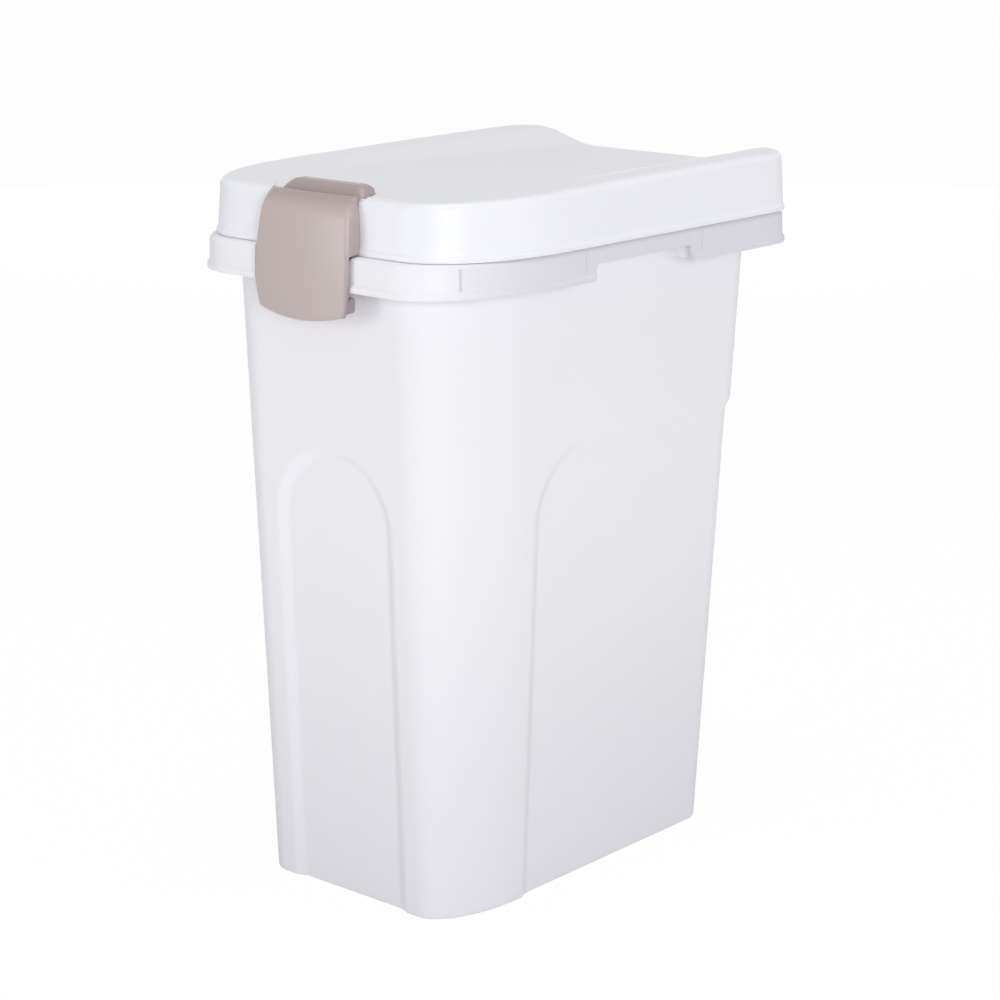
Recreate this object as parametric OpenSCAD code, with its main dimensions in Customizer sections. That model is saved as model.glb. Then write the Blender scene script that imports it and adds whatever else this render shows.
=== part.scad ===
// Rice bin with a flip lid: a tapered tub with a hollow rim, a hinged lid and a front clip.
// Millimetres, +Z up. The clip is at the front, -Y. The origin is on the floor, under the
// middle of the rim.

/* [Body] */
// Width of the body at the floor
base_w = 158; // [146:1:170]
// Depth of the body at the floor, front to back
base_d = 238; // [226:1:250]
// Width of the body at the rim
mouth_w = 188; // [180:1:196]
// Depth of the body at the rim
mouth_d = 267; // [258:1:276]
// Height of the rim's top face
rim_top = 376; // [350:1:420]
// Thickness of the body's wall
wall = 2.2; // [1.8:0.1:2.8]
// Thickness of the floor
floor_t = 2.6; // [2:0.1:4]
// Height of the foot ring under the floor
foot_h = 1.5; // [1:0.1:3]
// Width of the foot ring
foot_w = 8; // [5:0.5:12]
// Half width of the flat part of the front wall
front_flat = 52; // [50:1:58]
// Distance in front of the middle at which the front corners end
corner_end = 68; // [66:1:74]
// Radius of the rear corners
rear_r = 17; // [12:1:26]

/* [Panels] */
// Depth of the recessed panels
panel_depth = 2.6; // [1.5:0.1:3.5]
// Width of the soft shoulder round each panel
shoulder = 7; // [5:0.5:10]
// Radius of the front panel's arch, and its half width
arch_r = 45; // [36:1:47]
// Height of the panels' tops
panel_top = 266; // [230:1:290]
// Distance in front of the middle at which the side panels start
side_start = 65; // [60:0.5:66]
// Radius of the side panels' upper corners
side_r = 45; // [30:1:47]

/* [Rim] */
// How far the rim stands out at the sides
rim_side = 15.8; // [14:0.1:18]
// How far the rim stands out at the front
rim_front = 14.5; // [13:0.1:17]
// How far the rim stands out at the rear
rim_rear = 23.3; // [21:0.1:26]
// Height of the apron that hangs from the rim
apron_h = 18.6; // [16:0.1:22]
// Thickness of the apron
apron_t = 2; // [1.6:0.1:2.6]
// Thickness of the rim's top
flange_t = 2.4; // [2:0.1:3]
// How far the lip on the apron's lower edge stands out
lip = 1.3; // [0.8:0.1:1.8]
// Half width of the flat part of the rim's front
rim_flat = 60; // [55:1:66]
// Length of the rim's front corner curve along the side
rim_sweep = 93; // [84:1:98]
// Radius of the rim's rear corners
rim_rear_r = 23.5; // [18:0.5:30]
// Height of the upstand round the mouth
upstand_h = 7; // [5:0.1:8]

/* [Handles] */
// Length of each hand hold in the apron, along its top
handle_l = 83.4; // [70:0.2:96]
// Distance of the hand holds' middle behind the rim's middle
handle_y = 5.4; // [0:0.2:12]
// How far each end of a hand hold leans out
handle_lean = 3.5; // [0:0.1:5]
// Height of the hand holds
handle_h = 9.2; // [6:0.1:11]
// Thickness of the gussets under the rim
gusset_t = 1.6; // [1.2:0.1:2.4]

/* [Lid] */
// How far the lid's edge stands inside the rim's at the sides
lid_side_in = 1.3; // [0.8:0.1:2.5]
// How far the lid's edge stands behind the rim's at the front
lid_front_in = 7.9; // [7:0.1:9]
// How far the lid's edge passes the rim's at the rear
lid_rear_out = 1.8; // [1.6:0.1:2.4]
// Gap between the rim and the lid
lid_gap = 1.6; // [1.2:0.1:2.4]
// Height of the lid at the front
lid_h = 29.2; // [28:0.1:32]
// Rise of the side ridges from front to rear
ridge_rise = 3.6; // [1:0.1:6]
// Thickness of the lid's wall
lid_wall = 2.2; // [1.8:0.1:2.6]
// Radius of the lid's top edge
lid_edge_r = 4.4; // [3.5:0.1:6]
// How far the lid's skirt leans in
lid_lean = 1.6; // [0.8:0.1:2.2]
// How far the lip on the lid's lower edge stands out
lid_lip = 1; // [0.6:0.1:1.2]
// Depth of the channel in the lid's top at the rear
channel_depth = 9.6; // [6:0.1:10]
// Distance in front of the middle at which the channel starts
channel_run = 138; // [100:1:140]
// Half width of the channel's flat floor at the rear
channel_rear = 42; // [34:1:50]
// Half width of the channel's flat floor at the front
channel_front = 59; // [50:1:70]
// Half width of the channel over its slopes
channel_crest = 88; // [82:1:92]

/* [Seal] */
// Width of the seal
seal_w = 4.2; // [3.4:0.1:5]
// Height of the seal
seal_h = 5; // [4:0.1:6]

/* [Clip] */
// Half width of the clip's plate at its widest
clip_half = 35; // [34.6:0.1:37]
// Half width of the barrel, the arm and the hook
barrel_half = 31.4; // [29:0.1:31.8]
// Radius of the barrel's rear corners, seen from above
barrel_corner = 13; // [6:0.5:14]
// Radius of the clip's barrel
barrel_r = 8.4; // [7.6:0.1:8.8]
// How far the clip stands out in front of the rim
clip_out = 5.1; // [4.8:0.1:6]
// Thickness of the clip's plate
clip_t = 2.2; // [1.8:0.1:2.4]
// How far the clip hangs below the rim
clip_drop = 17.7; // [16:0.1:20]
// How much the plate's middle stands out past its edges
clip_bulge = 2.2; // [1:0.1:2.6]
// Diameter of the clip's pin
pin_d = 3; // [2.4:0.1:3.4]

/* [Hinge] */
// Diameter of the hinge pins
hinge_pin_d = 2.8; // [2.2:0.1:3]
// Radius of the hinge knuckles
knuckle_r = 3.3; // [2.9:0.1:3.6]
// Distance of each hinge's middle from the rim's side
hinge_in = 49.8; // [44:0.1:60]
// Length of the lid's knuckles
knuckle_l = 19.4; // [14:0.2:26]
// Length of each lug on the rim
lug_l = 6; // [4:0.2:8]

/* [Fits] */
// Radial play of a pin that turns
run_fit = 0.08; // [0.05:0.01:0.1]
// Radial play of a pin that is held
hold_fit = 0.02; // [0.01:0.01:0.03]
// Gap between faces that pass each other
gap = 0.3; // [0.25:0.05:0.5]

/* [Hidden] */
$fn = 48;

taupe = "#b9a69f";
milk = "#e6e4ec";
white = "#f6f6f6";
far = 400;
weld = 0.6;

// Lengthwise places, from the rim outwards and inwards
rim_d = mouth_d + rim_front + rim_rear;
rim_w = mouth_w + 2 * rim_side;
rim_y = rim_d / 2;
body_y = (rim_front - rim_rear) / 2;
lid_front = -rim_y + lid_front_in;
lid_rear = rim_y + lid_rear_out;
lid_w = rim_w - 2 * lid_side_in;

// Heights
apron_z = rim_top - apron_h;
upstand_top = rim_top + upstand_h;
lid_z = rim_top + lid_gap;
lid_top = lid_z + lid_h;
seal_z = upstand_top + gap;
arch_z = panel_top - arch_r;
floor_z = foot_h + floor_t;

// Clip and hinge axes
hinge_x = rim_w / 2 - hinge_in;
clip_y = lid_front + 15;
clip_z = lid_top - 3.3;
clip_face = -rim_y - clip_out;
clip_bottom = apron_z - clip_drop;
arm_z = clip_z - 1.6;
pocket_r = barrel_r + 2 * gap;
pocket_half = barrel_half + gap;
hook_half = barrel_half - 0.9;
notch_half = barrel_half + 1.1 + gap;
notch_y = lid_front + gap;
pin_half = pocket_half + 6.5;
hinge_y = lid_rear + 0.1;
hinge_z = rim_top - 2.6;

// ---- Outlines and lofts ----

function mix(a, b, t) = a + (b - a) * t;
function clamp01(t) = max(0, min(1, t));
function smooth(t) = let (u = clamp01(t)) u * u * (3 - 2 * u);

// Right half of an outline, from the middle of the front round to the rear.
// o = [half width, front y, rear y, flat half width, corner end y, corner power, rear radius,
//      front stations, side stations]
corner_n = 12;
rear_n = 6;
tail_n = 2;
function half_outline(o, inset) =
    let (hw = o[0] - inset, yf = o[1] + inset, yr = o[2] - inset, cx = o[3], cy = o[4])
    let (p = 2 / o[5], rr = max(o[6] - inset, 1), last = cy + o[8][len(o[8]) - 1])
    concat(
        [for (x = o[7]) [x, yf]],
        [for (i = [0 : corner_n]) let (a = 90 * i / corner_n)
            [cx + (hw - cx) * pow(sin(a), p), cy + (yf - cy) * pow(cos(a), p)]],
        [for (s = o[8]) [hw, cy + s]],
        [for (i = [1 : tail_n]) [hw, mix(last, yr - rr, i / (tail_n + 1))]],
        [for (i = [0 : rear_n]) let (a = 90 * i / rear_n)
            [hw - rr + rr * cos(a), yr - rr + rr * sin(a)]]
    );
function outline(o, inset) =
    let (h = half_outline(o, inset))
    concat(h, [for (i = [len(h) - 1 : -1 : 1]) [-h[i].x, h[i].y]]);
function ring(o, inset, z) = [for (p = outline(o, inset)) [p.x, p.y, z]];

// Joins rings of equal length into a solid. Caps close the ends, or the last ring meets the first.
module loft(rings, closed = false) {
    n = len(rings[0]);
    m = len(rings);
    pts = concat([for (r = rings) each r], closed ? [] : [middle(rings[0]), middle(rings[m - 1])]);
    sides = [for (r = [0 : (closed ? m - 1 : m - 2)]) for (i = [0 : n - 1])
        let (a = r * n + i, b = r * n + (i + 1) % n)
        let (c = ((r + 1) % m) * n + i, d = ((r + 1) % m) * n + (i + 1) % n)
        each [[a, c, d], [a, d, b]]];
    caps = closed ? [] : [for (i = [0 : n - 1]) let (j = (i + 1) % n, k = (m - 1) * n)
        each [[m * n, i, j], [m * n + 1, k + j, k + i]]];
    polyhedron(points = pts, faces = concat(sides, caps), convexity = 10);
}
function middle(r) =
    let (lo = [for (k = [0 : 2]) min([for (p = r) p[k]])], hi = [for (k = [0 : 2]) max([for (p = r) p[k]])])
    (lo + hi) / 2;

// A flat shape in Y and Z, pushed along X from x0 to x1.
module along_x(x0, x1) {
    translate([x0, 0, 0])
        rotate([90, 0, 90])
            linear_extrude(x1 - x0) children();
}

// A round bar along X.
module bar_x(x0, x1, y, z, r) {
    translate([x0, y, z])
        rotate([0, 90, 0])
            cylinder(r = r, h = x1 - x0);
}

module box(a, b) {
    translate(a) cube(b - a);
}

// A pin along X with chamfered ends.
module pin(x0, x1, y, z, d) {
    chamfer = 0.4;
    l = x1 - x0;
    r = d / 2;
    translate([x0, y, z])
        rotate([0, 90, 0])
            rotate_extrude()
                polygon([[0, 0], [r - chamfer, 0], [r, chamfer], [r, l - chamfer], [r - chamfer, l], [0, l]]);
}

module both_sides() {
    children();
    mirror([1, 0, 0]) children();
}

// ---- Tub ----

// The stations along the front and the sides follow the panels' edges up to their tops.
function panel_edge(r, z) =
    let (v = max(0, z - panel_top + r))
    max(r / 2, sqrt(max(0, r * r - v * v)));
function front_stations(z) =
    let (w = panel_edge(arch_r, z), flat = w - shoulder)
    [0, flat / 3, flat * 2 / 3, flat, w - shoulder * 0.67, w - shoulder * 0.33, w, (w + front_flat) / 2];
function side_stations(z) =
    let (e = corner_end - side_start + side_r - panel_edge(side_r, z))
    [for (s = [0, 0.33, 0.67, 1, 2.2, 4, 6.5]) e + s * shoulder];

function body_half(z) = mix(base_w, mouth_w, z / rim_top) / 2;
function body_deep(z) = mix(base_d, mouth_d, z / rim_top) / 2;
function body(z) = [body_half(z), body_y - body_deep(z), body_y + body_deep(z), front_flat,
    -corner_end, 2, rear_r, front_stations(z), side_stations(z)];
rim = [rim_w / 2, -rim_y, rim_y, rim_flat, -rim_y + rim_sweep, 2.2, rim_rear_r,
    front_stations(rim_top), side_stations(rim_top)];

// How far inside the panels' edges a point of the wall lies.
function arch_reach(x, z) = arch_r - (z < arch_z ? abs(x) : norm([x, z - arch_z]));
function side_reach(y, z) =
    let (u = y + side_start - side_r, v = z - panel_top + side_r)
    u < 0 && v > 0 ? side_r - norm([u, v]) : min(u, -v) + side_r;
function recess(p, z) =
    panel_depth * smooth((p.y < -corner_end ? arch_reach(p.x, z) : side_reach(p.y, z)) / shoulder);
function body_ring(z, inset) =
    let (o = body(z), edge = outline(o, 0), top = outline(o, inset), low = outline(o, inset + panel_depth))
    [for (i = [0 : len(edge) - 1])
        let (q = mix(top[i], low[i], recess(edge[i], z) / panel_depth)) [q.x, q.y, z]];

panel_steps = 12;
panel_heights = [for (i = [0 : panel_steps])
    panel_top - max(arch_r, side_r) * (1 - sin(90 * i / panel_steps))];
rim_corner = 3;

module tub_shell() {
    edge = lip + apron_t;
    loft(concat(
        [body_ring(foot_h, foot_w + 1), body_ring(0, foot_w), body_ring(0, 1.2)],
        [for (z = concat([1.2], panel_heights, [rim_top - flange_t])) body_ring(z, 0)],
        [ring(rim, edge, rim_top - flange_t), ring(rim, edge, apron_z)],
        [ring(rim, 0.3, apron_z), ring(rim, 0, apron_z + 0.8), ring(rim, 0, apron_z + 2.6)],
        [ring(rim, lip, apron_z + 3.8), ring(rim, lip + 0.4, rim_top - rim_corner)],
        [ring(rim, lip + 1.3, rim_top - 0.9), ring(rim, lip + 0.4 + rim_corner, rim_top)],
        [body_ring(rim_top, 0), body_ring(upstand_top - 0.6, 0), body_ring(upstand_top, 0.6)],
        [body_ring(upstand_top, wall)],
        [for (i = [panel_steps : -1 : 0]) body_ring(panel_heights[i], wall)],
        [body_ring(floor_z + 4, wall), body_ring(floor_z + 1, wall + 1), body_ring(floor_z, wall + 4)]
    ));
}

// The hand hold cut in the apron, with ends that lean.
module hand_hold() {
    y0 = handle_y - handle_l / 2;
    y1 = handle_y + handle_l / 2;
    top = apron_z + handle_h;
    along_x(rim_w / 2 - lip - apron_t - 4, rim_w / 2 + 2)
        polygon([[y0 - handle_lean, apron_z - 2], [y0, top], [y1, top], [y1 + handle_lean, apron_z - 2]]);
}

// A gusset under the rim, standing on the body's wall.
module gusset(a, b) {
    run = b - a;
    translate([a.x, a.y, apron_z + 1])
        rotate([0, 0, atan2(run.y, run.x)])
            translate([0, -gusset_t / 2, 0])
                cube([norm(run), gusset_t, apron_h - 1 - flange_t / 2]);
}

module gussets() {
    inner = body_half(apron_z) - 1;
    outer = rim_w / 2 - lip - apron_t / 2;
    for (s = [-1, 1]) {
        y = handle_y + s * (handle_l / 2 + 10);
        gusset([inner, y], [outer, y]);
    }
    o = body(apron_z);
    corner = [mix(o[3], o[0], 0.707), mix(o[4], o[1], 0.707)];
    apron = [mix(rim[3], rim[0], pow(0.707, 2 / rim[5])), mix(rim[4], rim[1], pow(0.707, 2 / rim[5]))];
    out = (apron - corner) / norm(apron - corner);
    gusset(corner - out * 1, apron - out * (lip + apron_t / 2 + 0.4));
}

// The recess in the rim's front that the clip's hook passes, with a bead that the hook clicks past.
module latch_recess() {
    box([-notch_half, -rim_y - 5, apron_z - 5], [notch_half, notch_y, upstand_top]);
}
module latch_walls() {
    cheek = 2;
    box([-notch_half - cheek, notch_y, apron_z], [notch_half + cheek, notch_y + apron_t, rim_top - weld]);
    both_sides()
        box([notch_half, -rim_y + lip + 1, apron_z + 0.4], [notch_half + cheek, notch_y + weld, rim_top - weld]);
    bar_x(-notch_half + 3, notch_half - 3, notch_y + 0.2, apron_z + 1.4, 1.2);
}

// The pair of lugs that holds one hinge pin.
module hinge_lugs() {
    for (s = [-1, 1]) {
        x = hinge_x + s * (knuckle_l / 2 + gap + lug_l / 2);
        difference() {
            union() {
                bar_x(x - lug_l / 2, x + lug_l / 2, hinge_y, hinge_z, knuckle_r);
                box([x - lug_l / 2, rim_y - lip - apron_t, hinge_z - knuckle_r],
                    [x + lug_l / 2, hinge_y, rim_top - weld]);
            }
            bar_x(x - lug_l, x + lug_l, hinge_y, hinge_z, hinge_pin_d / 2 + hold_fit);
        }
    }
}

module tub() {
    color(milk) {
        difference() {
            tub_shell();
            both_sides() hand_hold();
            latch_recess();
        }
        both_sides() {
            gussets();
            hinge_lugs();
        }
        latch_walls();
    }
}

// ---- Lid ----

lid_front_stations = [0, 30];
lid_side_stations = [50];
lid_o = [lid_w / 2, lid_front, lid_rear, rim_flat, -rim_y + rim_sweep, 2.2, rim_rear_r + 1,
    lid_front_stations, lid_side_stations];

// The ridges climb to the rear and level out there.
function ridge_z(y) =
    let (t = (lid_rear - y) / (lid_rear - lid_front))
    lid_top + ridge_rise * (1 - t * t);
function lid_ring(inset, down) = [for (p = outline(lid_o, inset)) [p.x, p.y, ridge_z(p.y) - down]];

module lid_outer() {
    steps = 4;
    lean = lid_lip + lid_lean;
    loft(concat(
        [ring(lid_o, 0.4, lid_z), ring(lid_o, 0, lid_z + 0.8), ring(lid_o, 0, lid_z + 2.8)],
        [ring(lid_o, lid_lip, lid_z + 4)],
        [for (i = [0 : steps]) let (a = 90 * i / steps)
            lid_ring(lean + lid_edge_r * (1 - cos(a)), lid_edge_r * (1 - sin(a)))]
    ));
}

// The channel's floor runs down to the rear. The hollow under it has the same shape, one wall lower.
function channel_floor(y) =
    let (t = (lid_rear - y) / (lid_rear + channel_run))
    mix(ridge_z(lid_rear) - channel_depth, ridge_z(-channel_run), t);
function channel_foot(y) =
    mix(channel_front, channel_rear, pow(clamp01((y - lid_front) / (lid_rear - lid_front)), 3));
function channel_ring(y, drop) =
    let (foot = channel_foot(y), low = channel_floor(y), top = ridge_z(y) + 0.4, n = 8)
    let (slope = [for (i = [0 : n])
        [mix(foot, channel_crest, i / n) + drop * 0.7, mix(low, top, smooth(i / n)) - drop]])
    concat(
        [for (i = [n : -1 : 0]) [-slope[i].x, y, slope[i].y]],
        [for (p = slope) [p.x, y, p.y]],
        [[slope[n].x, y, top + 20], [-slope[n].x, y, top + 20]]
    );
module channel(drop) {
    steps = 6;
    loft([for (i = [0 : steps]) channel_ring(mix(lid_rear + 10, -channel_run - 6, i / steps), drop)]);
}

module lid_hollow() {
    difference() {
        loft([
            ring(lid_o, lid_lip + lid_wall, lid_z - 1),
            lid_ring(lid_lip + lid_lean + lid_wall, lid_edge_r),
            lid_ring(lid_lip + lid_lean + lid_edge_r - 0.5, lid_wall + 0.3)
        ]);
        channel(lid_wall);
    }
}

// The groove under the lid that carries the seal, following the tub's mouth.
gland_o = [mouth_w / 2, body_y - mouth_d / 2, body_y + mouth_d / 2, front_flat, -corner_end, 2, rear_r,
    lid_front_stations, lid_side_stations];
seal_in = wall / 2 - seal_w / 2;
module seal_gland() {
    rib = 1.6;
    low = seal_z + 0.8;
    roof = seal_z + seal_h;
    o1 = seal_in - 0.1;
    o2 = seal_in + seal_w + 0.1;
    loft([
        ring(gland_o, o1 - rib, low), [for (p = outline(gland_o, o1 - rib)) [p.x, p.y, ridge_z(p.y) - 1]],
        [for (p = outline(gland_o, o1)) [p.x, p.y, ridge_z(p.y) - 1]], ring(gland_o, o1, roof + rib),
        ring(gland_o, o2 + rib, roof + rib), ring(gland_o, o2 + rib, low), ring(gland_o, o2, low),
        ring(gland_o, o2, roof), ring(gland_o, o1, roof), ring(gland_o, o1, low)
    ], closed = true);
}

// Housing of the clip's barrel and the ends of its pin.
module barrel_housing() {
    intersection() {
        lid_outer();
        union() {
            bar_x(-pocket_half - lid_wall, pocket_half + lid_wall, clip_y, clip_z, pocket_r + lid_wall);
            bar_x(-pin_half - lid_wall, pin_half + lid_wall, clip_y, clip_z, pin_d / 2 + lid_wall);
        }
    }
}
module barrel_pocket() {
    arm_relief();
    bar_x(-pocket_half, pocket_half, clip_y, clip_z, pocket_r);
    box([-pocket_half, lid_front - 5, arm_z - gap], [pocket_half, clip_y, lid_top + 20]);
    bar_x(-pin_half, pin_half, clip_y, clip_z, pin_d / 2 + hold_fit);
    box([-pin_half, clip_y - 0.5, clip_z], [pin_half, clip_y + 0.5, lid_top + 5]);
    both_sides()
        translate([pin_half, clip_y, clip_z - pin_d / 2]) cylinder(d = 1.6, h = 12);
}

// A shallow dish round the arm, in the lid's front edge.
module arm_relief() {
    side = pocket_half + 3.5;
    intersection() {
        along_x(-side, side)
            polygon([
                [lid_front - 5, lid_top - 4.1], [clip_y, lid_top - 0.2],
                [clip_y, lid_top + 20], [lid_front - 5, lid_top + 20]
            ]);
        translate([0, clip_y + 1, 0])
            rotate([90, 0, 0])
                linear_extrude(30)
                    polygon([
                        [-side, lid_top + 20], [-side, lid_top - 0.6], [-side + 3, lid_top - 5],
                        [side - 3, lid_top - 5], [side, lid_top - 0.6], [side, lid_top + 20]
                    ]);
    }
}

module lid_knuckle() {
    x0 = hinge_x - knuckle_l / 2;
    x1 = hinge_x + knuckle_l / 2;
    bar_x(x0, x1, hinge_y, hinge_z, knuckle_r);
    along_x(x0, x1)
        polygon([
            [hinge_y - knuckle_r, hinge_z], [hinge_y + knuckle_r, hinge_z], [hinge_y + 1.6, hinge_z + 9],
            [lid_rear - lid_lip - 1, hinge_z + 14], [lid_rear - lid_lip - 1.4, hinge_z + 14],
            [hinge_y - knuckle_r, lid_z + 0.8]
        ]);
}

module lid() {
    color(white)
        difference() {
            union() {
                difference() {
                    lid_outer();
                    lid_hollow();
                }
                barrel_housing();
                seal_gland();
                both_sides() lid_knuckle();
            }
            channel(0);
            barrel_pocket();
            both_sides()
                bar_x(hinge_x - far / 10, hinge_x + far / 10, hinge_y, hinge_z, hinge_pin_d / 2 + run_fit);
        }
}

module lid_seal() {
    soft = 0.9;
    a = seal_in;
    b = seal_in + seal_w;
    color("#cfd2d6")
        loft([
            ring(gland_o, a, seal_z + soft), ring(gland_o, a, seal_z + seal_h),
            ring(gland_o, b, seal_z + seal_h), ring(gland_o, b, seal_z + soft),
            ring(gland_o, b - soft, seal_z), ring(gland_o, a + soft, seal_z)
        ], closed = true);
}

// ---- Clip ----

// The plate's outer face: nearly upright, leaning back and rounding over at the top.
lean_z = clip_bottom + 12;
round_z = clip_z - 7.6;
round_r = 13;
plate_top = clip_z + 3.6;
function face_y(z) = clip_face + pow(max(0, z - lean_z), 2) / 520
    + round_r - sqrt(round_r * round_r - pow(max(0, z - round_z), 2));
function half_w(z) =
    let (t = (z - clip_bottom) / (plate_top - clip_bottom))
    clip_half - 3.6 * pow(max(0, t - 0.35) / 0.65, 2.4) - 3.6 * pow(max(0, 0.3 - t) / 0.3, 1.6);

// How far back the plate's side returns reach: short of the rim, then short of the lid.
function return_y(z) =
    z < rim_top + lid_gap / 2 ? -rim_y - gap
    : z < lid_z + 4.5 ? lid_front - gap
    : lid_front + lid_lip - gap + lid_lean * (z - lid_z - 4.5) / (lid_h - 4.5);

// The rounding of the plate's edges shrinks where the returns are shallow.
edge_r = 3;
spread = [-1, -0.985, -0.955, -0.9, -0.75, -0.4, 0, 0.4, 0.75, 0.9, 0.955, 0.985, 1];
function plate_ring(z, sag) =
    let (hw = half_w(z), yf = face_y(z), yb = return_y(z), n = len(spread) - 1)
    let (er = max(0.4, min(edge_r, yb - 0.4 - yf - clip_bulge)))
    let (front = [for (u = spread)
        let (x = u * hw, w = max(0, (abs(x) - hw + er) / er))
        [x, yf + clip_bulge * u * u + er * (1 - sqrt(1 - w * w)), z + sag * u * u]])
    let (back = [for (u = spread)
        [u * (hw - clip_t), yf + clip_bulge * u * u + clip_t, z + sag * u * u]])
    concat(
        [[-hw, max(yb, front[0].y + 0.4), z + sag]], front, [[hw, max(yb, front[n].y + 0.4), z + sag]],
        [[hw - clip_t, max(yb, back[n].y + 0.2), z + sag]], [for (i = [n : -1 : 0]) back[i]],
        [[-hw + clip_t, max(yb, back[0].y + 0.2), z + sag]]
    );

// A loft of bent strips: the caps run between the outer and the inner side.
module strip_loft(rings) {
    n = len(rings[0]);
    m = len(rings);
    half = n / 2;
    sides = [for (r = [0 : m - 2]) for (i = [0 : n - 1])
        let (a = r * n + i, b = r * n + (i + 1) % n, c = a + n, d = b + n)
        each [[a, c, d], [a, d, b]]];
    k = (m - 1) * n;
    caps = [for (i = [0 : half - 2]) let (j = n - 1 - i)
        each [[i, i + 1, j - 1], [i, j - 1, j], [k + i, k + j - 1, k + i + 1], [k + i, k + j, k + j - 1]]];
    polyhedron(points = [for (r = rings) each r], faces = concat(sides, caps), convexity = 10);
}

module clip_plate() {
    step = rim_top + lid_gap / 2;
    sag = 4.2;
    low = [0, 1.4, 4, 10, 18, 27];
    high = [for (f = [0.08, 0.25, 0.45, 0.63, 0.75, 0.85, 0.93, 1]) mix(step, plate_top, f)];
    heights = concat([for (h = low) clip_bottom + h], [step - 0.3, step + 0.3], high);
    strip_loft([for (z = heights) plate_ring(z, sag * max(0, 1 - (z - clip_bottom) / 26))]);
}

// The arm runs back from the plate's top, over the lid's notched edge, to the barrel.
module clip_arm() {
    front = face_y(clip_z) + clip_bulge;
    intersection() {
        union() {
            bar_x(-barrel_half, barrel_half, clip_y, clip_z, barrel_r);
            along_x(-barrel_half, barrel_half)
                polygon([
                    [front + 0.6, arm_z], [front + 0.3, arm_z + 1.6], [front + 3.2, plate_top - 0.6],
                    [front + 5, plate_top], [front + 7, plate_top - 0.1],
                    [clip_y - barrel_r - 0.6, clip_z + 2.8], [clip_y, clip_z + 1.6], [clip_y, arm_z]
                ]);
        }
        loft([for (k = [[0, -20], [0, barrel_r - barrel_soft], [0.3, barrel_r - 0.5],
            [barrel_soft, barrel_r + 0.1]]) arm_outline(barrel_half, k[0], clip_z + k[1])]);
    }
}

// The arm and the barrel from above: square in front, with rounded corners behind.
barrel_soft = 2.6;
function arm_outline(half, inset, z) =
    let (r = barrel_corner, cx = half - r, cy = clip_y + barrel_r - r, n = 8)
    let (arc = [for (i = [0 : n]) (r - inset) * [cos(90 * i / n), sin(90 * i / n)]])
    concat(
        [[inset - half, clip_y - far / 10, z], [half - inset, clip_y - far / 10, z]],
        [for (p = arc) [cx + p.x, cy + p.y, z]],
        [for (i = [n : -1 : 0]) [-cx - arc[i].x, cy + arc[i].y, z]]
    );

// The hook under the rim: a block with a low tooth, as far from the pivot as the rim allows.
module clip_hook() {
    nose = notch_y - 1.3 - gap;
    top = apron_z - 3.2;
    low = top - 8.6;
    for (part = [[hook_half, clip_face + clip_t + 0.6], [hook_half - 9, clip_face + clip_t - 0.6]])
        along_x(-part[0], part[0])
            polygon([
                [part[1], low], [nose - 1, low + 0.4], [nose, low + 1.4], [nose, top - 0.8],
                [nose - 0.8, top], [nose - 3.6, top], [nose - 5, top - 1.6], [part[1], top - 3]
            ]);
}

module clip() {
    color(taupe)
        difference() {
            union() {
                clip_plate();
                clip_arm();
                clip_hook();
            }
            bar_x(-far / 5, far / 5, clip_y, clip_z, pin_d / 2 + run_fit);
        }
}

module clip_pin() {
    color("#d9d9d6") pin(-pin_half + gap, pin_half - gap, clip_y, clip_z, pin_d);
}

hinge_pin_half = knuckle_l / 2 + gap + lug_l;
module hinge_pin() {
    color("#d9d9d6") pin(hinge_x - hinge_pin_half, hinge_x + hinge_pin_half, hinge_y, hinge_z, hinge_pin_d);
}
module hinge_pin_right() {
    hinge_pin();
}
module hinge_pin_left() {
    mirror([1, 0, 0]) hinge_pin();
}

tub();
lid();
lid_seal();
clip();
clip_pin();
hinge_pin_left();
hinge_pin_right();
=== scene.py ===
"""Rice bin with a flip lid: finished mouldings, pins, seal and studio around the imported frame.

Sizes are millimetres, as on the drawing of each piece, and become metres where a mesh is made.
"""

import contextlib
import enum
import logging
import math
from dataclasses import dataclass, field
from typing import Iterator, Sequence

import bmesh
import bpy
import numpy as np
from mathutils import Matrix, Vector


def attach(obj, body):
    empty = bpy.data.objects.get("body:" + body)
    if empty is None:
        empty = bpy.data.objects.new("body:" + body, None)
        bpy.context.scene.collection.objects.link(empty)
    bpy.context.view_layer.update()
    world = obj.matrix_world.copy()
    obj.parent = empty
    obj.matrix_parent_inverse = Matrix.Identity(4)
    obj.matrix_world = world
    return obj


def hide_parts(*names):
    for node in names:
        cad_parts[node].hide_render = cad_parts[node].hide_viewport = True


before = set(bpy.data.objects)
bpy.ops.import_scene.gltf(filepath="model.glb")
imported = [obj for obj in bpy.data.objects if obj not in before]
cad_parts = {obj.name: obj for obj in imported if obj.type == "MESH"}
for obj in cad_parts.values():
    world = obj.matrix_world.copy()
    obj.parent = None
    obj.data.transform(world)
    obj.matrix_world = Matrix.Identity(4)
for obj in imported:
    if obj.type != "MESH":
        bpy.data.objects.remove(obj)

LOG = logging.getLogger("rice_bin")
MM = 0.001
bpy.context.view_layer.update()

# Depths along Y and heights along Z that several pieces share.
RIM_TOP = 376.0
RIM_FRONT = -152.4
RECESS_BACK = -144.2
CLIP_AXIS = (-129.5, 403.5)

BORE_SIDES = 48
BUILD_FIELDS = ("edge", "inward", "crown", "turn", "reach")
FLOAT, COLOR = "NodeSocketFloat", "NodeSocketColor"

Point = tuple[float, float]
Profile = tuple[Point, ...]
Triple = tuple[float, float, float]
Ring = np.ndarray
Socket = bpy.types.NodeSocket
Piece = bpy.types.Object
Material = bpy.types.Material
Outputs = bpy.types.NodeOutputs


class Body(str, enum.Enum):
    """The bodies that pieces ride on."""

    TUB = "tub"
    LID = "lid"
    CLIP = "clip"


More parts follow.
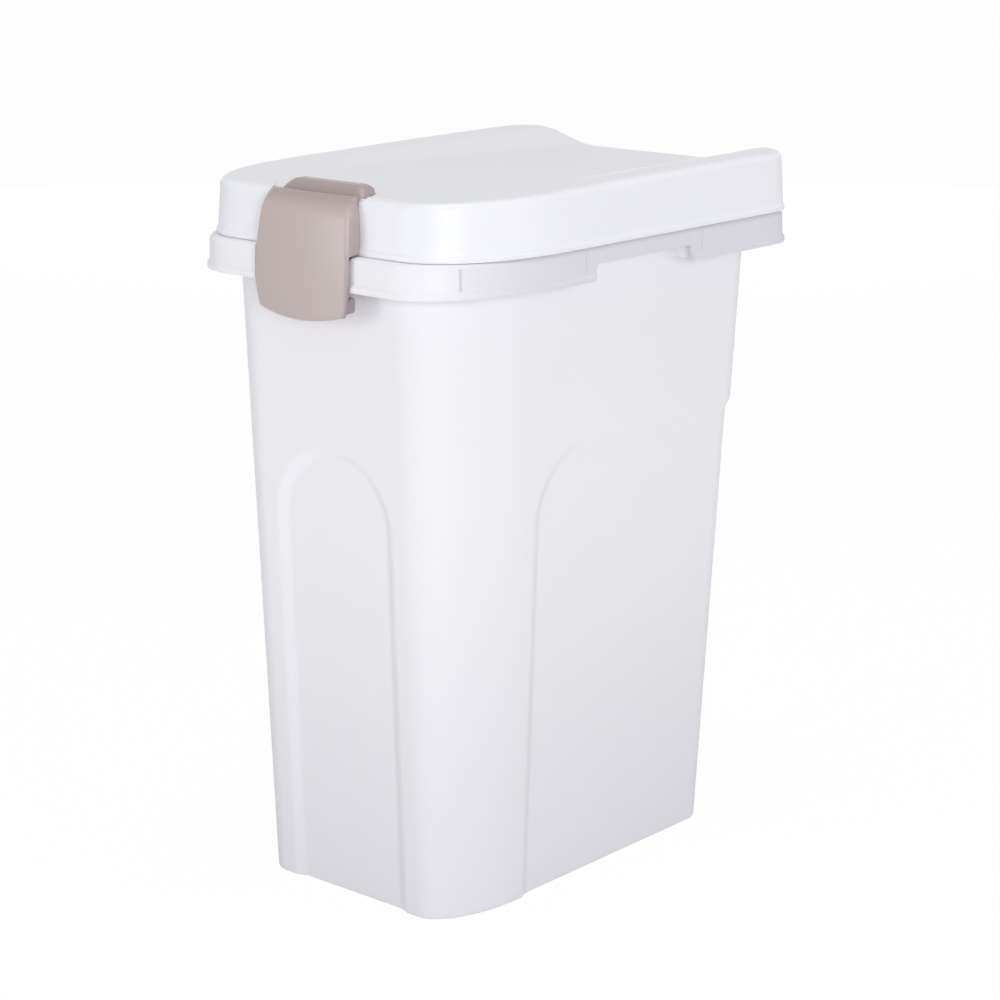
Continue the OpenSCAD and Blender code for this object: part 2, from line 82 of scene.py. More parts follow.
class Side(enum.IntEnum):
    """Left and right, as signs along X."""

    LEFT = -1
    RIGHT = 1

    def span(self, near: float, far: float) -> Point:
        """Both ends along X of what lies from near to far on this side, the lower first."""
        low, high = sorted((self * near, self * far))
        return low, high


# ---- Plane geometry ----


def smooth(t: float) -> float:
    """Smoothstep of t, held between 0 and 1."""
    u = min(max(t, 0.0), 1.0)
    return u * u * (3.0 - 2.0 * u)


def quarter(steps: int, first: int = 0) -> list[float]:
    """Angles up to a right angle in equal steps, from step number first on."""
    return [math.pi / 2 * i / steps for i in range(first, steps + 1)]


def arc(middle: Point, radius: float, angles: Sequence[float]) -> list[Point]:
    """Points at some angles, in radians, on a circle."""
    return [(middle[0] + radius * math.cos(a), middle[1] + radius * math.sin(a)) for a in angles]


def circle(middle: Point, radius: float, sides: int) -> list[Point]:
    """A whole circle as an outline."""
    return arc(middle, radius, np.linspace(0, 2 * math.pi, sides, endpoint=False))


def shifted(profile: Profile, across: float, up: float) -> list[Point]:
    """A profile's points, moved."""
    return [(across + a, up + b) for a, b in profile]


def oblong(left: float, right: float, low: float, high: float) -> list[Point]:
    """A rectangle's corners, anticlockwise."""
    return [(left, low), (right, low), (right, high), (left, high)]


def rounded(corners: Sequence[Triple], steps: int = 6) -> list[Point]:
    """An outline with rounded corners.

    Args:
        corners: Two coordinates and the radius of each corner.
        steps: Segments in each round.

    Returns:
        The outline's points.
    """
    made: list[Point] = []
    for i, (x, y, radius) in enumerate(corners):
        if radius <= 0:
            made.append((x, y))
            continue
        here = Vector((x, y))
        before = (Vector(corners[i - 1][:2]) - here).normalized()
        after = (Vector(corners[(i + 1) % len(corners)][:2]) - here).normalized()
        half = before.angle(after) / 2
        reach = radius / math.tan(half)
        middle = here + (before + after).normalized() * (radius / math.sin(half))
        start, end = here + before * reach - middle, here + after * reach - middle
        turn = start.angle_signed(end)
        made += [tuple(middle + Matrix.Rotation(-turn * k / steps, 2) @ start) for k in range(steps + 1)]
    return made


# ---- Node trees ----


class Tree:
    """A node tree under construction, with short calls for the nodes that the rules use."""

    def __init__(self, tree: bpy.types.NodeTree) -> None:
        """Wraps a tree."""
        self.tree = tree

    def socket(self, name: str, kind: str, default: object = None, out: bool = False) -> None:
        """Adds a named socket to the tree's interface.

        Args:
            name: The socket's name.
            kind: Its socket type, such as NodeSocketFloat.
            default: Its default value, if any.
            out: True for an output.
        """
        made = self.tree.interface.new_socket(name=name, in_out="OUTPUT" if out else "INPUT", socket_type=kind)
        if default is not None:
            made.default_value = default

    def node(self, kind: str, inputs: dict | None = None, **props: object) -> bpy.types.Node:
        """Adds a node.

        Args:
            kind: The node's type name.
            inputs: Socket name or index to a value or to an output socket.
            **props: Properties of the node itself.

        Returns:
            The node.
        """
        made = self.tree.nodes.new(kind)
        for key, value in props.items():
            setattr(made, key, value)
        self.fill(made, inputs or {})
        return made

    def fill(self, node: bpy.types.Node, inputs: dict) -> None:
        """Feeds several inputs of a node, each by its name or index."""
        for key, value in inputs.items():
            self.feed(node.inputs[key], value)

    def feed(self, target: Socket, value: object) -> None:
        """Links an output socket to target, or sets target to a value.

        Args:
            target: The input socket.
            value: An output socket or a plain value.
        """
        if isinstance(value, bpy.types.NodeSocket):
            self.tree.links.new(value, target)
        else:
            target.default_value = value

    def math(self, operation: str, *values: object) -> Socket:
        """Puts a Math node on values and returns its output."""
        return self.node("ShaderNodeMath", dict(enumerate(values)), operation=operation).outputs[0]

    def add(self, a: object, b: object) -> Socket:
        """The sum of two values."""
        return self.math("ADD", a, b)

    def sub(self, a: object, b: object) -> Socket:
        """One value less another."""
        return self.math("SUBTRACT", a, b)

    def mul(self, a: object, b: object) -> Socket:
        """The product of two values."""
        return self.math("MULTIPLY", a, b)

    def above(self, value: object) -> Socket:
        """A value, or 0 where it is negative."""
        return self.math("MAXIMUM", value, 0.0)

    def length(self, a: object, b: object) -> Socket:
        """The length of a step across and a step up."""
        return self.math("SQRT", self.add(self.mul(a, a), self.mul(b, b)))

    def ramp(self, value: object, low: object, high: object, start: object = 0.0, end: object = 1.0,
             soft: bool = True) -> Socket:
        """Maps value from low..high to start..end, held at the ends.

        Args:
            value: What is mapped.
            low: The value that gives start.
            high: The value that gives end.
            start: The output at low.
            end: The output at high.
            soft: True for a smoothstep, False for a straight line.

        Returns:
            The mapped value.
        """
        inputs = dict(enumerate((value, low, high, start, end)))
        kind = "SMOOTHSTEP" if soft else "LINEAR"
        return self.node("ShaderNodeMapRange", inputs, interpolation_type=kind).outputs[0]

    def split(self, vector: Socket) -> Outputs:
        """The three coordinates of a vector."""
        return self.node("ShaderNodeSeparateXYZ", {0: vector}).outputs

    def mix(self, share: Socket, first: object, second: object) -> Socket:
        """A colour between two, by a share from 0 to 1."""
        return self.node("ShaderNodeMix", {0: share, 6: first, 7: second}, data_type="RGBA").outputs[2]

    def attribute(self, name: str, kind: str = "FLOAT_VECTOR") -> Socket:
        """Reads a named attribute of the mesh."""
        return self.node("GeometryNodeInputNamedAttribute", {"Name": name}, data_type=kind).outputs["Attribute"]


class ShapeRule:
    """A Geometry Nodes tree that is built in the script and applied to a mesh."""

    def __init__(self, name: str, sizes: dict[str, float]) -> None:
        """Makes the tree, with a geometry input and one named input for each size.

        Args:
            name: The tree's name.
            sizes: Name and value, in millimetres, of each size. The tree gets metres.
        """
        self.sizes = {key: value * MM for key, value in sizes.items()}
        self.group = bpy.data.node_groups.new(name, "GeometryNodeTree")
        self.tree = Tree(self.group)
        self.tree.socket("Geometry", "NodeSocketGeometry")
        for key, value in self.sizes.items():
            self.tree.socket(key, FLOAT, value)
        self.tree.socket("Material", "NodeSocketMaterial")
        self.tree.socket("Geometry", "NodeSocketGeometry", out=True)
        self.given = self.group.nodes.new("NodeGroupInput").outputs

    def move(self, offset: bpy.types.Node) -> None:
        """Ends the tree in moving each point by what a node puts out."""
        self.close(self.tree.node("GeometryNodeSetPosition",
                                  {"Geometry": self.given["Geometry"], "Offset": offset.outputs[0]}))

    def close(self, last: bpy.types.Node) -> None:
        """Ends the tree in Realize Instances and Set Material, after its last node.

        Args:
            last: The node whose first output is the shaped geometry.
        """
        real = self.tree.node("GeometryNodeRealizeInstances", {"Geometry": last.outputs[0]})
        dressed = self.tree.node(
            "GeometryNodeSetMaterial", {"Geometry": real.outputs[0], "Material": self.given["Material"]})
        self.tree.node("NodeGroupOutput", {"Geometry": dressed.outputs[0]})

    def apply(self, piece: Piece, material: Material) -> Piece:
        """Runs the tree on a piece and keeps the result as its plain mesh.

        Args:
            piece: The object whose mesh is the tree's input.
            material: The material that the tree sets.

        Returns:
            The piece.
        """
        modifier = piece.modifiers.new(self.group.name, "NODES")
        modifier.node_group = self.group
        values = {**self.sizes, "Material": material}
        for item in self.group.interface.items_tree:
            if item.in_out == "INPUT" and item.name in values:
                modifier[item.identifier] = values[item.name]
        bake(piece)
        return piece


def bake(piece: Piece) -> None:
    """Turns a piece's modifiers into its plain mesh.

    Args:
        piece: The object, which keeps its place and loses its modifiers.
    """
    bpy.context.view_layer.update()
    shown = piece.evaluated_get(bpy.context.evaluated_depsgraph_get())
    made = bpy.data.meshes.new_from_object(shown)
    old = piece.data
    piece.modifiers.clear()
    piece.data = made
    made.name = piece.name
    bpy.data.meshes.remove(old)


# ---- Meshes ----


def link(name: str, data: bpy.types.ID) -> bpy.types.Object:
    """Makes an object of some data and puts it in the scene.

    Args:
        name: The object's name.
        data: Its mesh, lamp or camera.

    Returns:
        The object.
    """
    made = bpy.data.objects.new(name, data)
    bpy.context.scene.collection.objects.link(made)
    return made


@contextlib.contextmanager
def editing(mesh: bpy.types.Mesh) -> Iterator[bmesh.types.BMesh]:
    """Opens a mesh for editing and writes it back.

    Args:
        mesh: The mesh.

    Returns:
        A context that gives the open mesh.
    """
    work = bmesh.new()
    work.from_mesh(mesh)
    yield work
    work.to_mesh(mesh)
    work.free()


def add_mesh(name: str, points: Sequence, faces: Sequence) -> Piece:
    """Makes an object from points in millimetres.

    Args:
        name: The object's name.
        points: Corner places, in millimetres.
        faces: Corner numbers of each face.

    Returns:
        The object, at the origin.
    """
    mesh = bpy.data.meshes.new(name)
    mesh.from_pydata([tuple(float(c) * MM for c in p) for p in points], [], [list(f) for f in faces])
    mesh.update()
    return link(name, mesh)


def merge(piece: Piece, gap: float = 0.004) -> None:
    """Joins corners closer than gap millimetres and drops what that flattens.

    Args:
        piece: The object.
        gap: The distance in millimetres.
    """
    with editing(piece.data) as work:
        bmesh.ops.remove_doubles(work, verts=work.verts, dist=gap * MM)
        bmesh.ops.dissolve_degenerate(work, edges=work.edges, dist=gap * MM * 0.5)


def loft(name: str, rings: Sequence[Ring], fields: dict[str, Sequence[np.ndarray]] | None = None,
         closed: bool = False, ends: Sequence[Sequence[int]] = ()) -> Piece:
    """Joins rings of equal length into a skin.

    Args:
        name: The object's name.
        rings: Rings of points, in the order in which the skin passes them.
        fields: Extra values kept on the mesh: name to one array per ring, in metres or plain numbers.
        closed: True if the last ring meets the first.
        ends: Faces that close the skin's two ends, as corner numbers.

    Returns:
        The object.
    """
    count, total = len(rings[0]), len(rings)
    faces: list[Sequence[int]] = []
    for r in range(total if closed else total - 1):
        low, high = r * count, ((r + 1) % total) * count
        faces += [(low + i, low + (i + 1) % count, high + (i + 1) % count, high + i) for i in range(count)]
    piece = add_mesh(name, np.concatenate(rings), [*faces, *ends])
    for key, values in (fields or {}).items():
        flat = np.concatenate(values)
        kind, slot = ("FLOAT_VECTOR", "vector") if flat.ndim == 2 else ("FLOAT", "value")
        layer = piece.data.attributes.new(key, kind, "POINT")
        layer.data.foreach_set(slot, flat.astype(np.float32).ravel())
    return piece


def prism(name: str, outline: Sequence[Point], start: float, end: float, up: bool = False) -> Piece:
    """A flat outline in Y and Z pushed along X, or one in X and Y pushed up.

    Args:
        name: The object's name.
        outline: Corners of the outline, in either turning direction.
        start: Where it starts.
        end: Where it ends.
        up: True for an outline in X and Y.

    Returns:
        The object.
    """
    area = sum(a[0] * b[1] - b[0] * a[1] for a, b in zip(outline, [*outline[1:], outline[0]]))
    ring = list(outline) if area > 0 else list(outline)[::-1]
    n = len(ring)
    points = [(*p, at) if up else (at, *p) for at in (start, end) for p in ring]
    sides = [(i, (i + 1) % n, n + (i + 1) % n, n + i) for i in range(n)]
    return add_mesh(name, points, [*sides, range(n - 1, -1, -1), range(n, 2 * n)])


def bar(name: str, x0: float, x1: float, middle: Point, radius: float, sides: int = BORE_SIDES) -> Piece:
    """A round bar along X."""
    return prism(name, circle(middle, radius, sides), x0, x1)


def cut(piece: Piece, *cutters: Piece) -> None:
    """Cuts shapes out of a piece and deletes them.

    Args:
        piece: The object that is cut.
        *cutters: Closed shapes, which are used up.
    """
    for cutter in cutters:
        modifier = piece.modifiers.new("cut", "BOOLEAN")
        modifier.operation = "DIFFERENCE"
        modifier.solver = "EXACT"
        modifier.object = cutter
        bake(piece)
        bpy.data.objects.remove(cutter)


def join(name: str, pieces: Sequence[Piece]) -> Piece:
    """Makes one object of several, with their meshes side by side.

    Args:
        name: The new object's name.
        pieces: The objects, which are used up.

    Returns:
        The new object.
    """
    work = bmesh.new()
    for piece in pieces:
        work.from_mesh(piece.data)
    mesh = bpy.data.meshes.new(name)
    work.to_mesh(mesh)
    work.free()
    for piece in pieces:
        bpy.data.objects.remove(piece)
    return link(name, mesh)


def soften(piece: Piece, width: float, segments: int = 2, angle: float = 35) -> Piece:
    """Rounds a piece's sharp edges.

    Args:
        piece: The object.
        width: The round's width in millimetres.
        segments: Segments in the round.
        angle: Edges sharper than this many degrees are rounded.

    Returns:
        The piece.
    """
    modifier = piece.modifiers.new("round", "BEVEL")
    modifier.width = width * MM
    modifier.segments = segments
    modifier.limit_method = "ANGLE"
    modifier.angle_limit = math.radians(angle)
    modifier.use_clamp_overlap = True
    bake(piece)
    return piece


def finish_piece(piece: Piece, body: Body, material: Material, sharp: float = 34) -> None:
    """Shades a piece, dresses it and puts it on its body.

    Args:
        piece: The object.
        body: The body that it rides on. The record's slot for its finish has the same name.
        material: Its finish.
        sharp: Edges sharper than this many degrees stay crisp.
    """
    mesh = piece.data
    mesh.materials.clear()
    mesh.materials.append(material)
    mesh.polygons.foreach_set("material_index", [0] * len(mesh.polygons))
    for key in BUILD_FIELDS:
        if key in mesh.attributes:
            mesh.attributes.remove(mesh.attributes[key])
    mesh.shade_smooth()
    mesh.set_sharp_from_angle(angle=math.radians(sharp))
    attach(piece, body.value)
    LOG.info("%s: %d faces on %s", piece.name, len(mesh.polygons), body.value)


# ---- Outlines ----


@dataclass(frozen=True)
class Columns:
    """How the columns of a skin are spread round an outline, front to rear."""

    front: int = 44
    corner: int = 36
    lead: int = 12
    fillet: int = 26
    run: int = 26
    rear: int = 12
    back: int = 10
    lead_share: float = 0.07
    fillet_share: float = 0.31

    def side(self) -> list[float]:
        """Shares of the straight side at which a column stands.

        Returns:
            Numbers above 0 and below 1, in rising order.
        """
        first = [self.lead_share * (i + 1) / self.lead for i in range(self.lead)]
        span = self.fillet_share - self.lead_share
        second = [self.lead_share + span * (i + 1) / self.fillet for i in range(self.fillet)]
        rest = 1 - self.fillet_share
        return first + second + [self.fillet_share + rest * (i + 1) / (self.run + 1) for i in range(self.run)]


@dataclass(frozen=True)
class Outline:
    """A closed outline, seen from above: flat front, elliptical front corners, round rear corners."""

    half: float
    front: float
    rear: float
    flat: float
    corner_end: float
    power: float
    rear_r: float

    def half_points(self, inset: float, columns: Columns) -> np.ndarray:
        """The right half, from the middle of the front round to the middle of the rear.

        Args:
            inset: Distance inside the outline.
            columns: How its points are spread.

        Returns:
            The points, one a row.
        """
        half, front, rear = self.half - inset, self.front + inset, self.rear - inset
        bend = max(self.rear_r - inset, 1.0)
        straight = rear - bend - self.corner_end
        points = [(self.flat * i / columns.front, front) for i in range(columns.front)]
        points += [(self.flat + (half - self.flat) * math.sin(a) ** (2 / self.power),
                    self.corner_end + (front - self.corner_end) * math.cos(a) ** (2 / self.power))
                   for a in quarter(columns.corner)]
        points += [(half, self.corner_end + straight * s) for s in columns.side()]
        points += arc((half - bend, rear - bend), bend, quarter(columns.rear))
        points += [((half - bend) * (1 - (i + 1) / columns.back), rear) for i in range(columns.back)]
        return np.array(points)

    def ring(self, inset: float, z: float) -> Ring:
        """The whole outline as a ring of points at height z.

        Args:
            inset: Distance inside the outline.
            z: The ring's height.

        Returns:
            The ring.
        """
        right = self.half_points(inset, Columns())
        flat = np.concatenate([right, right[-2:0:-1] * np.array([-1.0, 1.0])])
        return np.column_stack([flat, np.full(len(flat), float(z))])


# ---- Finishes ----


class Effect:
    """A shader node group with named inputs and outputs, built once and placed in each material."""

    name = ""
    inputs: dict[str, float | tuple[float, ...]] = {}
    outputs: dict[str, str] = {"Color": COLOR}

    def rule(self, tree: Tree, given: Outputs, place: Socket) -> dict[str, Socket]:
        """What the group puts out.

        Args:
            tree: The group's tree.
            given: The group's inputs.
            place: The point in the piece's own coordinates.

        Returns:
            Name and socket of each output.
        """
        raise NotImplementedError

    def group(self) -> bpy.types.NodeTree:
        """The group, which is built if it isn't there yet.

        Returns:
            The group's tree.
        """
        group = bpy.data.node_groups.get(self.name)
        if group:
            return group
        group = bpy.data.node_groups.new(self.name, "ShaderNodeTree")
        tree = Tree(group)
        for key, value in self.inputs.items():
            tree.socket(key, FLOAT if isinstance(value, float) else COLOR, value)
        for key, kind in self.outputs.items():
            tree.socket(key, kind, out=True)
        given = group.nodes.new("NodeGroupInput").outputs
        place = group.nodes.new("ShaderNodeTexCoord").outputs["Object"]
        tree.node("NodeGroupOutput", self.rule(tree, given, place))
        return group

    def put(self, tree: Tree, values: dict) -> Outputs:
        """Places the group in a material's tree, with its own values, and returns its outputs."""
        return tree.node("ShaderNodeGroup", values, node_tree=self.group()).outputs


class Grain(Effect):
    """The fine surface of moulded plastic: a height for the bump and a roughness that wanders."""

    name = "Moulded grain"
    inputs = {"Scale": 900.0, "Roughness": 0.4, "Spread": 0.05}
    outputs = {"Height": FLOAT, "Roughness": FLOAT}
    broad = {"Scale": 24.0, "Detail": 3.0}

    def rule(self, tree: Tree, given: Outputs, place: Socket) -> dict[str, Socket]:
        """Fine noise for the height, broad noise for the roughness."""
        fine = tree.node("ShaderNodeTexNoise", {"Vector": place, "Scale": given["Scale"], "Detail": 2.0})
        broad = tree.node("ShaderNodeTexNoise", {"Vector": place, **self.broad})
        wander = tree.mul(tree.sub(broad.outputs[0], 0.5), given["Spread"])
        return {"Height": fine.outputs[0], "Roughness": tree.add(given["Roughness"], wander)}


class PlaceShade(Effect):
    """Painted shade: another colour that comes in with height, with depth and near an outline."""

    name = "Shade painted by place"
    inputs = {"Color": (0.8, 0.8, 0.8, 1.0), "New Color": (0.7, 0.7, 0.7, 1.0), "Low": 0.0, "High": 0.3,
              "Front": 0.0, "Rear": 0.1, "Half Width": 0.001, "Half Depth": 0.001}
    power = 4.0
    near = (0.70, 0.85)

    def rule(self, tree: Tree, given: Outputs, place: Socket) -> dict[str, Socket]:
        """Mixes the two colours by the product of the three shares."""
        at = tree.split(place)
        share = tree.mul(tree.ramp(at["Z"], given["Low"], given["High"]),
                         tree.ramp(at["Y"], given["Front"], given["Rear"]))
        outward = [tree.math("POWER", tree.math("DIVIDE", tree.math("ABSOLUTE", at[axis]), given[half]), self.power)
                   for axis, half in (("X", "Half Width"), ("Y", "Half Depth"))]
        share = tree.mul(share, tree.ramp(tree.add(*outward), *self.near))
        return {"Color": tree.mix(share, given["Color"], given["New Color"])}


def new_material(name: str) -> tuple[Material, Tree, bpy.types.Node]:
    """Makes a material around a Principled shader.

    Args:
        name: The material's name.

    Returns:
        The material, its tree and its shader.
    """
    material = bpy.data.materials.new(name)
    material.use_nodes = True
    return material, Tree(material.node_tree), material.node_tree.nodes["Principled BSDF"]


@dataclass(frozen=True)
class PaintedShade:
    """A place where shade is painted into a moulding's colour, in metres.

    The colour comes in between two heights and two depths, and only near an outline where half sizes are given.
    """

    color: Triple
    low: float
    high: float
    front: float = -1.0
    rear: float = -0.9
    half: Point = (0.001, 0.001)

    def put(self, tree: Tree, color: object) -> Socket:
        """Lays the painted shade over a colour and returns the result."""
        values = (color, (*self.color, 1.0), self.low, self.high, self.front, self.rear, *self.half)
        return PlaceShade().put(tree, dict(zip(PlaceShade.inputs, values)))["Color"]


@dataclass(frozen=True)
class Plastic:
    """A moulded plastic finish."""

    name: str
    color: Triple
    painted_shades: tuple[PaintedShade, ...] = ()
    roughness: float = 0.4
    spread: float = 0.05
    grain: float = 0.02
    grain_depth: float = 0.0003
    gloss: float = 0.5
    ior: float = 1.49

    def build(self) -> Material:
        """Makes the material, with its Principled shader fed by the shared effects.

        Returns:
            The material.
        """
        material, tree, shader = new_material(self.name)
        color: object = (*self.color, 1.0)
        # Painted shade: each entry mixes in a darker or lighter colour by place, to stand for shade on the moulding.
        for painted_shade in self.painted_shades:
            color = painted_shade.put(tree, color)
        grain = Grain().put(tree, {"Roughness": self.roughness, "Spread": self.spread})
        bump = tree.node("ShaderNodeBump", {"Height": grain["Height"], "Strength": self.grain,
                                            "Distance": self.grain_depth})
        tree.fill(shader, {"Base Color": color, "IOR": self.ior, "Specular IOR Level": self.gloss,
                           "Roughness": grain["Roughness"], "Normal": bump.outputs["Normal"]})
        return material


@dataclass(frozen=True)
class Palette:
    """The finishes of the bin's pieces, with shade painted into the colours of the tub, its ribs and the clip."""

    # Painted shade: the tub's colour is the darker one at the bottom, and the first painted shade lightens it up to
    # 0.26 m, so the tub gets darker towards the bottom, where the shaded floor shows through its milky walls.
    tub: Plastic = Plastic("milky_plastic", (0.725, 0.72, 0.76), roughness=0.45, gloss=0.35, painted_shades=(
        PaintedShade((0.83, 0.82, 0.86), 0.0, 0.26),
        # Painted shade: the rim's apron is darker from its front round to its sides, for the dark gap behind it that
        # shows through the plastic.
        PaintedShade((0.68, 0.665, 0.73), 0.3565, 0.3585, -0.160, -0.095, (0.1098, 0.1524))))
    # Painted shade: the ribs are a darker copy of the tub's plastic, so that their ends in the apron's face show as
    # the faint dark line of their shade.
    rib: Plastic = Plastic("milky_plastic_shaded_ribs", (0.62, 0.61, 0.68), roughness=0.45, gloss=0.35)
    lid: Plastic = Plastic("white_plastic", (0.815, 0.82, 0.865), roughness=0.42)
    clip: Plastic = Plastic("taupe_plastic", (0.49, 0.415, 0.41), roughness=0.30, gloss=0.4, painted_shades=(
        # Painted shade: the clip's top, which faces up, is darker.
        PaintedShade((0.375, 0.31, 0.305), 0.397, 0.4085),
        # Painted shade: the clip's side returns are darker.
        PaintedShade((0.42, 0.355, 0.35), 0.0, 0.001, -0.1565, -0.1545, (0.0352, 10.0)),
        # Painted shade: the hook and the low parts behind the plate are darker, as in shadow.
        PaintedShade((0.33, 0.27, 0.285), 0.372, 0.358, -0.1555, -0.1535)))
    seal: Plastic = Plastic("soft_seal", (0.7, 0.71, 0.73), roughness=0.6)
    pin: Plastic = Plastic("pin_plastic", (0.72, 0.72, 0.71), roughness=0.35)


@dataclass(frozen=True)
class Hinge:
    """The rear hinge that the tub and the lid share."""

    x: float = 60.0
    axis: Point = (154.3, 373.4)
    radius: float = 3.3
    lug_at: float = 13.0

    def lugs(self, side: Side) -> list[float]:
        """Where the middles of one side's lugs stand along X."""
        return [side * self.x + offset for offset in (-self.lug_at, self.lug_at)]

    def nose(self, start: int, end: int, step: int) -> list[Point]:
        """The round of a lug or a knuckle, from start to end degrees."""
        return arc(self.axis, self.radius, [math.radians(a) for a in range(start, end + 1, step)])

    def part(self, outline: Sequence[Point], x: float, length: float, bore: float, soft: float,
             segments: int) -> Piece:
        """A lug or a knuckle with its bore.

        Args:
            outline: Its outline in Y and Z.
            x: Where its middle stands.
            length: Its length.
            bore: The bore's radius.
            soft: Width of its rounded edges.
            segments: Segments in each of those rounds.

        Returns:
            The part.
        """
        made = soften(prism("part", outline, x - length / 2, x + length / 2), soft, segments)
        cut(made, bar("bore", x - length, x + length, self.axis, bore))
        return made


# ---- Tub ----


@dataclass
class Tub:
    """The tapered tub with its panels, foot, rim, hand holds and hinge lugs.

    Each edge profile is a row of steps inwards and up from where the edge starts.
    """

    base: Point = (158.0, 238.0)
    mouth: Point = (188.0, 267.0)
    center_y: float = -4.4
    wall: float = 2.2
    floor: float = 2.6
    floor_r: float = 4.0
    floor_steps: int = 6
    floor_clear: float = 8.0
    foot: Point = (8.0, 1.5)  # width, height
    foot_fillet: float = 1.0
    foot_inside: Profile = ((0.4, 0.2), (-0.2, 0))
    foot_outside: Profile = ((1.4, 0), (0.8, 0.15), (0.35, 0.5), (0.08, 1.0))
    fan_shares: tuple[float, ...] = (0.0, 0.25, 0.5, 0.75, 0.9)
    front_flat: float = 52.0
    corner_end: float = -68.0
    rear_r: float = 17.0
    panel_depth: float = 2.6
    shoulder: float = 8.6
    arch_r: float = 45.0
    panel_top: float = 266.0
    panel_step: float = 1.1
    panel_past: float = 1.2
    plain_heights: tuple[float, float, int] = (2.0, 4.0, 8)  # lowest, gap below the panels' ends, rings
    upper_heights: Point = (300.0, 340.0)
    side_start: float = -65.0
    side_r: float = 45.0
    rim: Outline = Outline(109.8, RIM_FRONT, 152.4, 60.0, -59.4, 2.2, 23.5)
    apron_h: float = 18.6
    apron_t: float = 2.0
    apron_inside: Profile = ((1, 0), (0, -1))
    apron_foot: Profile = ((0, 0.6), (-0.5, 0))
    apron_edge: Profile = ((0.8, 0), (0.3, 0.2), (0.05, 0.7), (0, 1.4), (0, 2.4), (0.15, 3.0), (0.55, 3.6),
                           (1.0, 4.0), (1.3, 4.6))
    flange_t: float = 2.4
    flange_root: Profile = ((0, -1), (-1, 0))
    lip: float = 1.3
    rim_inset: float = 0.4
    rim_round: float = 3.0
    rim_steps: int = 8
    upstand: float = 7.0
    upstand_foot: Profile = ((-1.2, 0), (-0.4, 0.3), (0, 1.2))
    upstand_outside: Profile = ((0, -0.8), (0.25, -0.25), (0.8, 0))
    upstand_inside: Profile = ((-0.8, 0), (-0.2, -0.3), (0, -0.9))
    hold_span: Point = (-36.3, 47.1)
    hold_h: float = 9.2
    hold_r: float = 2.2
    hold_lean: float = 3.5
    past: float = 2.0
    rib_t: float = 1.6
    rib_gap: float = 3.0
    rib_lift: float = 1.0
    # The ribs' ends stand this far out of the apron's face, where their painted-shade colour shows as a faint dark
    # line.
    rib_end: float = 0.06
    rib_at: float = 10.0
    end_at: float = 0.8
    corner_rib: Point = (93.06, -130.4)  # its outer end
    corner_way: Point = (0.854, -0.520)  # its direction
    corner_reach: float = 15.0
    recess_half: float = 32.8
    recess_past: Point = (5.0, 4.0)  # how far its cutter stands out ahead and above
    cheek: float = 2.0
    cheek_inset: Triple = (1.0, 0.6, 0.4)  # ahead, behind, above
    bead: Triple = (0.2, 1.4, 1.2)  # depth, height, radius
    bead_gap: float = 3.0
    top_gap: float = 0.6
    soft: float = 0.3
    hinge: Hinge = Hinge()
    lug_l: float = 6.0
    lug_soft: float = 0.4
    lug_bore: float = 1.42
    rings: list[Ring] = field(default_factory=list)
    edges: list[np.ndarray] = field(default_factory=list)
    inward: list[np.ndarray] = field(default_factory=list)

    @property
    def apron_low(self) -> float:
        """Height of the apron's lower edge."""
        return RIM_TOP - self.apron_h

    @property
    def rib_h(self) -> float:
        """Height of the ribs under the rim."""
        return self.apron_h - self.rib_gap

    def body(self, z: float) -> Outline:
        """The tub's outer outline at height z, without its panels.

        Args:
            z: The height.

        Returns:
            The outline.
        """
        t = z / RIM_TOP
        half = (self.base[0] + (self.mouth[0] - self.base[0]) * t) / 2
        deep = (self.base[1] + (self.mouth[1] - self.base[1]) * t) / 2
        return Outline(half, self.center_y - deep, self.center_y + deep, self.front_flat, self.corner_end,
                       2.0, self.rear_r)

    def add_body(self, inset: float, z: float, share: float = 1.0) -> None:
        """Adds a ring of the tub's wall or floor, which the panels may move inwards.

        Args:
            inset: Distance inside the wall's outer face.
            z: Height.
            share: Its size, as a share of the whole ring round the middle.
        """
        outline = self.body(z)
        ring = outline.ring(inset, z)
        middle = np.array([0.0, self.center_y, z])
        self.rings.append(ring if share == 1 else middle + (ring - middle) * share)
        self.edges.append(outline.ring(0, z) * MM)
        self.inward.append((outline.ring(inset + self.panel_depth, z) - ring) * MM * share)

    def add_rim(self, inset: float, z: float) -> None:
        """Adds a ring of the rim, which the panels leave alone.

        Args:
            inset: Distance inside the rim's outline.
            z: Height.
        """
        ring = self.rim.ring(inset, z)
        self.rings.append(ring)
        self.edges.append(ring * MM)
        self.inward.append(ring * 0)

    def wall_heights(self) -> list[float]:
        """Heights of the wall's rings, close together where the panels end.

        Returns:
            The heights, from the lowest up.
        """
        arch, (low, gap, count) = self.panel_top - max(self.arch_r, self.side_r), self.plain_heights
        panel_ends = np.arange(arch, self.panel_top + self.panel_past, self.panel_step)
        return [*np.linspace(low, arch - gap, count), *panel_ends, *self.upper_heights]

